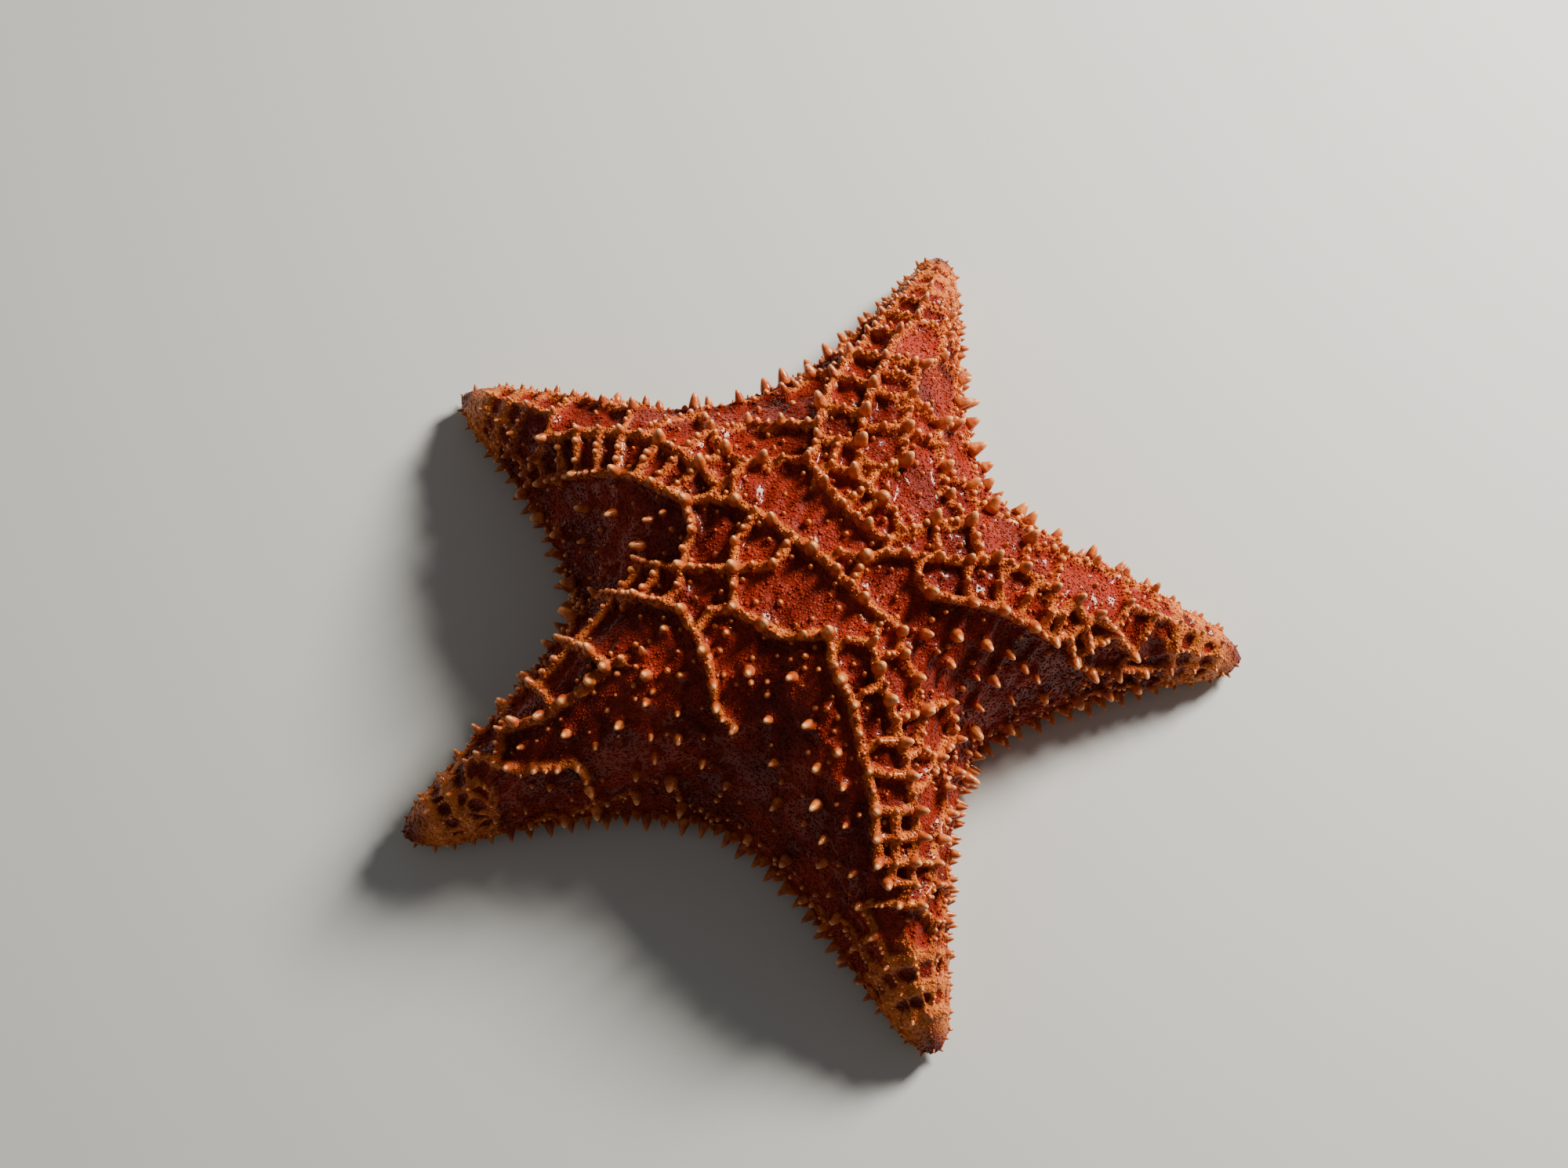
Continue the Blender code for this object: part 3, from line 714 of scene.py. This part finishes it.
skin_under[here[:, 1:3]] = UNDER_TINTS
skin_reach = np.concatenate([upper_reach, np.repeat(section_share, body_columns), section_share[roof_use]])
upper_bake = upper_place(upper_unwrap)
face_bake = np.concatenate([upper_bake[upper_faces], under_place(skin_point)[under_faces]])


def new_piece(name, points, faces, bake, marks, material):
    """A smooth mesh of triangles with its bake map, its marks (a number a point) and its material."""
    mesh = bpy.data.meshes.new(name)
    mesh.from_pydata(points, [], faces, shade_flat=False)
    mesh.uv_layers.new(name="OFBake").data.foreach_set("uv", bake.astype(np.float32).ravel())
    for mark, values in marks.items():
        layer = mesh.attributes.new(mark, "FLOAT", "POINT")
        layer.data.foreach_set("value", values.astype(np.float32))
    mesh.materials.append(material)
    mesh.validate()
    return set_out(name, mesh)


# Colour of the living skin, shared by everything that grows on it: brick red cells, orange ropes and
# knobs whose tops are paler, partly their own colour and partly a painted highlight, a darker very tip,
# and a cream underside, all uneven and finely grained.
CELL_DARK = (0.116, 0.0055, 0.0034, 1.0)
CELL_LIGHT = (0.29, 0.02, 0.0078, 1.0)
ROPE_DARK = (0.4, 0.065, 0.0125, 1.0)
ROPE_LIGHT = (0.69, 0.185, 0.034, 1.0)
# Pale top of knobs, spines and grains: partly their own paler lime, partly a painted highlight
PALE_TOP_AND_HIGHLIGHT = (0.93, 0.42, 0.14, 1.0)
TIP_COLOUR = (0.15, 0.016, 0.008, 1.0)
UNDER_DARK = (0.48, 0.22, 0.085, 1.0)
UNDER_LIGHT = (0.74, 0.52, 0.27, 1.0)
PATCH_SIZE = 0.018
FLECK_SIZE = 0.003
GRAIN_SIZE = 0.00105
FILM_ROUGHNESS = 0.08
LIGHT_DEPTH = 0.002
hide = bpy.data.node_groups.new("living_skin", "ShaderNodeTree")
for socket, start in (("Pale", 0.0), ("Grain", 1.0)):
    made = hide.interface.new_socket(socket, in_out="INPUT", socket_type="NodeSocketFloat")
    made.default_value = start
for socket, kind in (("Color", "Color"), ("Roughness", "Float"), ("Height", "Float")):
    hide.interface.new_socket(socket, in_out="OUTPUT", socket_type="NodeSocket" + kind)


def add_node(kind, tree=hide, **values):
    """A shader node with its settings and the values or links of its inputs."""
    made = tree.nodes.new(kind)
    for key in [key for key in values if hasattr(made, key)]:
        setattr(made, key, values.pop(key))
    wire(tree, made, **values)
    return made


def mixed(factor, low, high, tree=hide):
    """Mix of two colours by a factor; inputs 6 and 7 of a Mix node are its colours."""
    return add_node("ShaderNodeMix", tree, data_type="RGBA", i0=factor, i6=low, i7=high).outputs[2]


def ramped(value, low, high):
    """0 below the low value, 1 above the high one, smooth between."""
    smooth = "SMOOTHSTEP"
    return add_node("ShaderNodeMapRange", interpolation_type=smooth, i0=value, i1=low, i2=high).outputs[0]


def noise(size, detail, tree=hide):
    """Noise over the place on the object, with features of a size in metres."""
    where = add_node("ShaderNodeTexCoord", tree).outputs["Object"]
    return add_node("ShaderNodeTexNoise", tree, Vector=where, Scale=1.0 / size, Detail=detail).outputs[0]


def mark(name):
    """A mark of the piece, one number a point."""
    return add_node("ShaderNodeAttribute", attribute_name=name).outputs["Fac"]


def arith(operation, first, second):
    """Two values added, multiplied and so on."""
    return add_node("ShaderNodeMath", operation=operation, i0=first, i1=second).outputs[0]


inward = hide.nodes.new("NodeGroupInput").outputs
where = add_node("ShaderNodeTexCoord").outputs["Object"]
patches = noise(PATCH_SIZE, 3.0)
flecks = noise(FLECK_SIZE, 4.0)
grains = add_node("ShaderNodeTexVoronoi", Vector=where, Scale=1.0 / GRAIN_SIZE)
grain_top = ramped(grains.outputs["Distance"], 0.62, 0.1)
cells = mixed(ramped(patches, 0.32, 0.68), CELL_DARK, CELL_LIGHT)
cells = mixed(arith("MULTIPLY", grain_top, 0.22), cells, ROPE_DARK)
ropes = mixed(ramped(flecks, 0.38, 0.7), ROPE_DARK, ROPE_LIGHT)
ropes = mixed(arith("MULTIPLY", ramped(mark("reach"), 0.68, 0.86), 0.55), ropes, ROPE_LIGHT)
uneven = arith("MULTIPLY", arith("SUBTRACT", flecks, 0.5), 0.5)
colour = mixed(ramped(arith("ADD", mark("rope"), uneven), 0.35, 0.85), cells, ropes)
# Tops of pegs are mixed toward the pale top colour by their height: partly own colour, partly painted
# highlight
crown_pale_and_highlight = ramped(mark("crown_pale_and_highlight"), 0.45, 1.0)
colour = mixed(arith("MULTIPLY", crown_pale_and_highlight, inward["Pale"]), colour, PALE_TOP_AND_HIGHLIGHT)
colour = mixed(ramped(mark("reach"), 0.895, 0.985), colour, TIP_COLOUR)
below = mixed(ramped(flecks, 0.3, 0.7), UNDER_DARK, UNDER_LIGHT)
colour = mixed(ramped(mark("under"), 0.2, 0.95), colour, below)
roughness = add_node("ShaderNodeMapRange", i0=flecks, i3=0.3, i4=0.52).outputs[0]
grain_relief = arith("MULTIPLY", grain_top, inward["Grain"])
relief = arith("ADD", grain_relief, arith("MULTIPLY", flecks, 0.6))
wire(hide, hide.nodes.new("NodeGroupOutput"), Color=colour, Roughness=roughness, Height=relief)


# pale: how strongly the tops of pegs take the pale top colour, which is partly a painted highlight
def living_material(name, pale, grain=0.5, bump=0.00012, wet=0.4, gloss=0.3):
    """Wet skin: the shared colour under a clear film of water, with a bump for the grain."""
    material, tree, shader = new_material(name)
    skin = tree.nodes.new("ShaderNodeGroup")
    skin.node_tree = hide
    wire(tree, skin, Pale=pale, Grain=grain)
    rough = add_node("ShaderNodeBump", tree, Strength=1.0, Distance=bump, Height=skin.outputs["Height"])
    wire(
        tree, shader, Base_Color=skin.outputs["Color"], Roughness=skin.outputs["Roughness"],
        Normal=rough.outputs["Normal"], Specular_IOR_Level=gloss, Coat_Weight=wet,
        Coat_Roughness=FILM_ROUGHNESS, Subsurface_Weight=0.06, Subsurface_Scale=LIGHT_DEPTH,
    )
    return material


skin_material = living_material("star_skin", pale=0.0, grain=1.0, bump=0.00018, wet=0.2, gloss=0.08)
skin_marks = {"rope": skin_rope, "reach": skin_reach, "under": skin_under, "crown_pale_and_highlight": 0.0 * skin_rope}
skin = new_piece("star_skin", skin_point, skin_face, face_bake, skin_marks, skin_material)
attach(skin, "root")
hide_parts("disc", *ARM_NAMES)

# Knobs: one blunt cone of lime on every plate, orange with a paler top that is partly its own colour and
# partly a painted highlight. They are fused to their plates and stand square to the skin, stoutest along
# the crests and on the flanks between the arms.
# The two lists of a table are what it goes by and the scale there; kinds are those of the plates.
KNOB_SHAPE = ((1.0, -0.35), (0.96, 0.02), (0.8, 0.3), (0.62, 0.58), (0.44, 0.82), (0.22, 0.97))
KNOB_SIDES = 12
KNOB_RADIUS = 0.0018
KNOB_HEIGHT = 0.0033
KNOB_BY_SHARE = ([0.0, 0.3, 0.55, 0.76], [1.0, 0.86, 0.72, 0.36])
KNOB_BY_ROW = ([0, 1, 3, 4, 7], [1.05, 0.95, 1.0, 0.9, 0.55])
KNOB_BY_KIND = np.array([1.02, 1.18, 0.62, 0.74])
TALLNESS_BY_KIND = np.array([1.25, 0.95, 0.8, 1.1])
KNOB_VARIES = (0.72, 1.16)
TALLNESS_VARIES = (0.85, 1.2)
KNOB_LEAN = 0.1
PATCH = 0.0015
PATCH_TAPER = 0.85
ROOT_DEPTH = 0.05
PEG_CLEAR = 0.0001


def peg_faces(count, rings, sides):
    """Triangles of many pegs: a fan at each end and a belt of pairs between neighbouring rings."""
    ring = 1 + np.arange(rings * sides).reshape(rings, sides)
    on = np.roll(ring, -1, axis=1)
    one = np.concatenate([
        np.column_stack([on[0], ring[0], 0 * ring[0]]),
        two_each(ring[:-1], on[:-1], on[1:], ring[1:]),
        np.column_stack([ring[-1], on[-1], 0 * ring[0] + 1 + rings * sides]),
    ])
    return (np.arange(count)[:, None, None] * (rings * sides + 2) + one).reshape(-1, 3)


def growth(name, roots, aim, radius, height, shape, sides, material):
    """One joined piece of many pegs: profiles of rings round their aims, closed by a point at both ends.
    A ring's centre is the root plus its height share of the aim."""
    ring_radius, ring_height = np.array(shape).T
    count = len(aim)
    helper = np.where(np.abs(aim[:, 2:]) > 0.9, (1.0, 0.0, 0.0), (0.0, 0.0, 1.0))
    first = unit(np.cross(helper, aim))
    second = np.cross(aim, first)
    angle = np.arange(sides) * 2.0 * math.pi / sides + chance.uniform(0.0, FULL_TURN, count)[:, None]
    turn = np.stack([np.cos(angle), np.sin(angle)], axis=-1)
    spoke = turn[..., :1] * first[:, None] + turn[..., 1:] * second[:, None]
    rise = np.concatenate([ring_height[:1] - ROOT_DEPTH, ring_height, [1.0]])
    centre = roots["at"][:, None] + aim[:, None] * (rise[:, None] * height[:, None, None])
    out = (ring_radius[:, None] * radius[:, None, None])[..., None]
    rings = centre[:, 1:-1, None] + spoke[:, None] * out
    points = np.concatenate([centre[:, :1], rings.reshape(count, -1, 3), centre[:, -1:]], axis=1)
    rise = held(rise)
    patch = turn[:, None] * (PATCH * (1.0 - PATCH_TAPER * rise[1:-1]))[:, None, None]
    patch = np.pad(patch.reshape(count, -1, 2), ((0, 0), (1, 1), (0, 0)))
    bake = (roots["bake"][:, None] + patch).reshape(-1, 2)
    marks = {key: np.repeat(roots[key], points.shape[1]) for key in ("rope", "reach", "under")}
    # Share of height up each peg; the shader paints the top paler with it, partly as a painted highlight
    marks["crown_pale_and_highlight"] = np.tile(np.concatenate([[0.0], np.repeat(rise[1:-1], sides), [1.0]]), count)
    points = points.reshape(-1, 3)
    points[:, 2] = np.maximum(points[:, 2], PEG_CLEAR)
    faces = peg_faces(count, len(shape), sides)
    piece = new_piece(name, points, faces, bake[faces], marks, material)
    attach(piece, "root")


def rooted(at, bake, rope, reach, under):
    """Roots of pegs: points, bake places and marks; one number as a mark is that of all."""
    marks = {"rope": rope, "reach": reach, "under": under}
    return {"at": at, "bake": bake, **{key: np.broadcast_to(mark, len(at)) for key, mark in marks.items()}}


def on_skin(numbers):
    """Roots at some points of the upper skin."""
    return rooted(skin_point[numbers], upper_bake[numbers], 1.0, skin_reach[numbers], 0.0)


def scattered(aim, spread):
    """Aims turned a little at random: a step of about the spread is added to each."""
    return unit(aim + chance.normal(0.0, spread, aim.shape))


# Knobs take most of the pale top colour, which is partly a painted highlight
knob_material = living_material("knob_lime", pale=0.85)
plate_numbers = np.searchsorted(known_codes, np.arange(len(plates)))
knob_scale = np.interp(plate_share, *KNOB_BY_SHARE) * chance.uniform(*KNOB_VARIES, len(plates))
knob_scale *= np.interp(plate_row, *KNOB_BY_ROW) * KNOB_BY_KIND[plate_kind]
tallness = chance.uniform(*TALLNESS_VARIES, len(plates)) * TALLNESS_BY_KIND[plate_kind]
knob_aim = scattered(upper_normal[plate_numbers], KNOB_LEAN)
growth(
    "knobs", on_skin(plate_numbers), knob_aim, KNOB_RADIUS * knob_scale,
    KNOB_HEIGHT * knob_scale * tallness, KNOB_SHAPE, KNOB_SIDES, knob_material,
)

# Beads: the small plates that make up a rope, two between neighbouring knobs, each topped by a low
# knob of its own. Short and faint ropes have none.
BEAD_SHAPE = ((1.0, -0.3), (0.92, 0.25), (0.62, 0.7), (0.3, 0.94))
BEAD_SIDES = 8
BEAD_RADIUS = 0.00105
BEAD_HEIGHT = 0.0013
BEAD_ROOM = 0.008
BEAD_BOUND = 0.35
BEAD_BY_SHARE = ([0.4, 0.7, 1.0], [1.0, 0.7, 0.4])
BEAD_VARIES = (0.75, 1.2)
BEAD_LEAN = 0.12
STEPS_TO_BEAD = (3, 5)
first, second = np.unique(np.sort(meshes[:, [0, 1, 1, 2, 2, 0]].reshape(-1, 2), axis=1), axis=0).T
strength = rope_strength(first, second)
beaded = (apart[first, second] > BEAD_ROOM) & (strength > BEAD_BOUND)
first, second, strength = first[beaded], second[beaded], strength[beaded]
steps = [chance.integers(*STEPS_TO_BEAD, len(first)) for _ in range(2)]
bead_codes = [edge_codes(first, second, steps[0]), edge_codes(first, second, FINENESS - steps[1])]
beads = np.searchsorted(known_codes, np.concatenate(bead_codes))
bead_scale = chance.uniform(*BEAD_VARIES, len(beads)) * blend(0.7, 1.0, np.tile(strength, 2))
bead_scale *= np.interp(skin_reach[beads], *BEAD_BY_SHARE)
growth(
    "rope_beads", on_skin(beads), scattered(upper_normal[beads], BEAD_LEAN),
    BEAD_RADIUS * bead_scale, BEAD_HEIGHT * bead_scale, BEAD_SHAPE, BEAD_SIDES, knob_material,
)

# The small lone knobs of the cells, on their swellings: of lime like the beads, but redder and more
# uneven, with less of the pale top that is partly a painted highlight, and each stands by itself.
SMALL_BY_SHARE = ([0.3, 0.66], [1.0, 0.8])
SMALL_VARIES = (0.5, 1.05)
SMALL_TALLNESS = (0.8, 1.4)
small_material = living_material("cell_lime", pale=0.22)
small_scale = chance.uniform(*SMALL_VARIES, len(small)) * np.interp(upper_reach[small], *SMALL_BY_SHARE)
small_aim = scattered(upper_normal[small], KNOB_LEAN)
small_height = BEAD_HEIGHT * small_scale * chance.uniform(*SMALL_TALLNESS, len(small))
growth(
    "cell_beads", on_skin(small), small_aim, BEAD_RADIUS * small_scale, small_height,
    BEAD_SHAPE, BEAD_SIDES, small_material,
)

# Spines of the margin: two rows of stout pointed teeth of lime, set on the plates of the rim. The
# upper row stands up a little and the lower one lies level, just clear of the ground.
SPINE_SHAPE = ((1.0, -0.25), (0.93, 0.02), (0.71, 0.26), (0.51, 0.51), (0.33, 0.75), (0.17, 0.92))
SPINE_SIDES = 10
SPINE_SPACING = 0.0057
SPINE_SCATTER = 0.0005
SPINE_SET_IN = 0.0008
SPINE_RADIUS = 0.0022
SPINE_LENGTH = 0.0053
SPINE_BY_SHARE = ([0.0, 0.5, 0.8, 1.0], [1.0, 0.85, 0.62, 0.45])
SPINE_VARIES = (0.82, 1.15)
TILT_VARIES = (-5.0, 8.0)
SPINE_TINT = 0.75
TIP_TINT = 0.95
MARGIN_POINTS = 400
# One line a row: height, upward tilt in degrees, shift along the margin in spacings
SPINE_ROWS = ((0.0078, 36.0, 0.0), (0.0032, 7.0, 0.5))
teeth = []
for half in range(10):
    share, edge, way = margin_line(half, MARGIN_POINTS)
    onward = np.gradient(edge, axis=0)
    out = unit(np.column_stack([-onward[:, 1], onward[:, 0], 0.0 * share])) * side_of[half]
    for rise, upward, offset in SPINE_ROWS:
        at = np.arange(SPINE_SPACING * (0.25 + offset), way[-1], SPINE_SPACING)
        at = np.clip(at + chance.uniform(-SPINE_SCATTER, SPINE_SCATTER, len(at)), 0.0, way[-1])
        x, y, *level, part = [np.interp(at, way, values) for values in (*edge[:, :2].T, *out.T, share)]
        level = unit(np.column_stack(level))
        spot = np.column_stack([x, y, 0.0 * at + rise]) - level * SPINE_SET_IN
        tilt = np.radians(upward + chance.uniform(*TILT_VARIES, len(at)))[:, None]
        aim = level * np.cos(tilt) + np.array([0.0, 0.0, 1.0]) * np.sin(tilt)
        teeth.append(np.column_stack([spot, aim, part, 0.0 * at + half]))
teeth = np.vstack(teeth)
spine_share, spine_half = teeth[:, 6], teeth[:, 7].astype(int)
spine_flat = rolled_flat(spine_half, spine_share, over_skin(spine_half, spine_share)[1])
spine_roots = rooted(teeth[:, :3], upper_place(spine_flat), SPINE_TINT, spine_share * TIP_TINT, 0.0)
spine_scale = np.interp(spine_share, *SPINE_BY_SHARE) * chance.uniform(*SPINE_VARIES, len(teeth))
# Spines take some of the pale top colour, which is partly a painted highlight
spine_material = living_material("spine_lime", pale=0.35)
growth(
    "margin_spines", spine_roots, teeth[:, 3:6], SPINE_RADIUS * spine_scale,
    SPINE_LENGTH * spine_scale, SPINE_SHAPE, SPINE_SIDES, spine_material,
)

# Granules: the whole upper skin is paved with grains of lime under a thin film, coarse on the ropes
# and fine in the cells. They are sown evenly by area, one joined piece for the disc and for each arm.
GRAIN_SHAPE = ((1.0, 0.1),)
GRAIN_SIDES = 5
GRAIN_COUNT = 56000
GRAIN_VARIES = (0.75, 1.25)
COARSEN = 1.4
LARGE_SHARE = 0.035
LARGE_SCALE = 1.9
GRAIN_RADIUS = (0.00034, 0.0004)
GRAIN_HEIGHT = (0.0003, 0.00032)
GRAIN_HEIGHT_OUT = ([0.6, 0.8], [1.0, 0.4])
DISC_REACH = 0.058


def sow(count, faces, bake, seed):
    """Roots spread evenly over triangles by area: steps along the summed areas, each at a random place
    of its triangle, with everything mixed from the corners."""
    draw = np.random.default_rng(seed)
    total = np.cumsum(length(face_cross(skin_point[faces])))
    spots = (np.arange(count) + draw.uniform(0.0, 1.0, count)) / count * total[-1]
    chosen = np.searchsorted(total, spots)
    first, second = draw.uniform(0.0, 1.0, (2, count))
    folded = first + second > 1.0
    first, second = np.where(folded, 1.0 - first, first), np.where(folded, 1.0 - second, second)
    mix = np.column_stack([1.0 - first - second, first, second])
    used = faces[chosen]
    marks = [(mix * values[used]).sum(1) for values in (skin_rope, skin_reach, skin_under)]
    at, place_in_bake, aim = [
        (mix[..., None] * values).sum(1) for values in (skin_point[used], bake[chosen], skin_normal[used])
    ]
    return {**rooted(at, place_in_bake, *marks), "aim": unit(aim)}


skin_normal = corner_normals(skin_point, skin_face)
grains = sow(GRAIN_COUNT, upper_faces, face_bake[:len(upper_faces)], 31)
spot = grains["at"][:, :2] - STAR_CENTRE
nearest_arm = np.argmax(spot @ heading(ARM_FORM[:, 0]).T, axis=1)
region = np.where(length(spot) < DISC_REACH, 5, nearest_arm)
coarse = held(grains["rope"] * COARSEN)
size = chance.uniform(*GRAIN_VARIES, GRAIN_COUNT)
size *= np.where(chance.uniform(0.0, 1.0, GRAIN_COUNT) < LARGE_SHARE, LARGE_SCALE, 1.0)
grain_radius = blend(*GRAIN_RADIUS, coarse) * size
grain_height = blend(*GRAIN_HEIGHT, coarse) * size * np.interp(grains["reach"], *GRAIN_HEIGHT_OUT)
# Grains take a little of the pale top colour, which is partly a painted highlight
grain_material = living_material("granule_lime", pale=0.12, grain=0.0, bump=0.00005, wet=0.07, gloss=0.05)
for number, name in enumerate(ARM_NAMES + ("disc",)):
    picked = np.flatnonzero(region == number)
    roots = {key: values[picked] for key, values in grains.items()}
    growth(
        "granules_" + name, roots, roots["aim"], grain_radius[picked], grain_height[picked],
        GRAIN_SHAPE, GRAIN_SIDES, grain_material,
    )

# The sole is paved with low grains of lime, larger than those of the back and set in the skin like
# them, sown evenly over the whole underside in one joined piece.
SOLE_COUNT = 11000
SOLE_VARIES = (0.6, 1.2)
SOLE_RADIUS = 0.00072
SOLE_HEIGHT = 0.00048
sole = sow(SOLE_COUNT, under_faces, face_bake[len(upper_faces):], 41)
size = chance.uniform(*SOLE_VARIES, SOLE_COUNT)
growth(
    "sole_grains", sole, sole["aim"], SOLE_RADIUS * size, SOLE_HEIGHT * size,
    GRAIN_SHAPE, GRAIN_SIDES, grain_material,
)

# Spines of the grooves: along both edges of each groove a row of fine spines of lime leans over it,
# with two rows of stouter ones behind. They are rooted in the skin of the sole.
GROOVE_START = 0.0085
GROOVE_STOP = 0.9
GROOVE_CLOSING = 0.03
LEAST_NARROW = 0.35
GROOVE_TINT = 0.6
GUARD_SHAPE = ((0.8, -0.1), (1.0, 0.25), (0.95, 0.6), (0.6, 0.92))
GUARD_SIDES = 7
GUARD_SCATTER = 0.00025
GUARD_VARIES = (0.85, 1.15)
# One line a row: spacing, distance from the groove's middle, height, radius, reach inwards, drop
GUARD_ROWS = (
    (0.0015, 0.0047, 0.0029, 0.00055, 0.0034, 0.002),
    (0.0023, 0.0066, 0.0022, 0.00095, 0.0006, 0.0017),
    (0.0031, 0.009, 0.002, 0.001, -0.0003, 0.0016),
)


def groove_row(spacing, offset, height):
    """Roots along both edges of all five grooves, and the half arm of each."""
    parts = []
    for half in range(10):
        along = np.arange(GROOVE_START, length_of[half] * GROOVE_STOP, spacing)
        narrow = np.clip((length_of[half] - along) / GROOVE_CLOSING, LEAST_NARROW, 1.0)
        share = along / length_of[half]
        plan = in_plan(half, along, offset * narrow + bowed(half, share)) + STAR_CENTRE
        parts.append(np.column_stack([plan, 0.0 * along + height, 0.0 * along + half, share]))
    parts = np.vstack(parts)
    roots = rooted(parts[:, :3], under_place(parts), GROOVE_TINT, parts[:, 4] * GROOVE_STOP, 1.0)
    return roots, parts[:, 3].astype(int)


for number, (spacing, offset, height, radius, inwards, drop) in enumerate(GUARD_ROWS, 1):
    roots, half = groove_row(spacing, offset, height)
    count = len(half)
    toward = np.column_stack([-across_of[half] * inwards, np.full(count, -drop)])
    toward += chance.normal(0.0, GUARD_SCATTER, (count, 3))
    growth(
        "groove_spines_" + str(number), roots, unit(toward), radius * chance.uniform(*GUARD_VARIES, count),
        length(toward), GUARD_SHAPE, GUARD_SIDES, spine_material,
    )

# Tube feet: soft pale flesh, two rows in each groove. Each is a stalk that hangs from the roof of the
# groove and ends in a sucker, and sways a little its own way.
FOOT_SHAPE = (
    (1.25, -0.05), (1.0, 0.1), (0.85, 0.35), (0.8, 0.62),
    (0.85, 0.8), (1.3, 0.88), (1.45, 0.95), (0.7, 1.0),
)
FOOT_SIDES = 8
FOOT_ROW = (0.0031, 0.0018, 0.0068)
FOOT_RADIUS = (0.00065, 0.00085)
FOOT_LENGTH = (0.0045, 0.0062)
FOOT_SWAY = 0.0005
FOOT_DARK = (0.6, 0.33, 0.14, 1.0)
FOOT_LIGHT = (0.82, 0.62, 0.36, 1.0)
FOOT_PATCHES = 0.0015
foot_material, foot_tree, foot_shader = new_material("tube_foot_flesh")
foot_colour = mixed(noise(FOOT_PATCHES, 2.0, foot_tree), FOOT_DARK, FOOT_LIGHT, foot_tree)
wire(
    foot_tree, foot_shader, Base_Color=foot_colour, Roughness=0.32, Subsurface_Weight=0.15,
    Subsurface_Scale=LIGHT_DEPTH,
)
roots, half = groove_row(*FOOT_ROW)
count = len(half)
sway = chance.normal(0.0, FOOT_SWAY, (count, 2))
toward = np.column_stack([sway, -chance.uniform(*FOOT_LENGTH, count)])
growth(
    "tube_feet", roots, unit(toward), chance.uniform(*FOOT_RADIUS, count), length(toward),
    FOOT_SHAPE, FOOT_SIDES, foot_material,
)
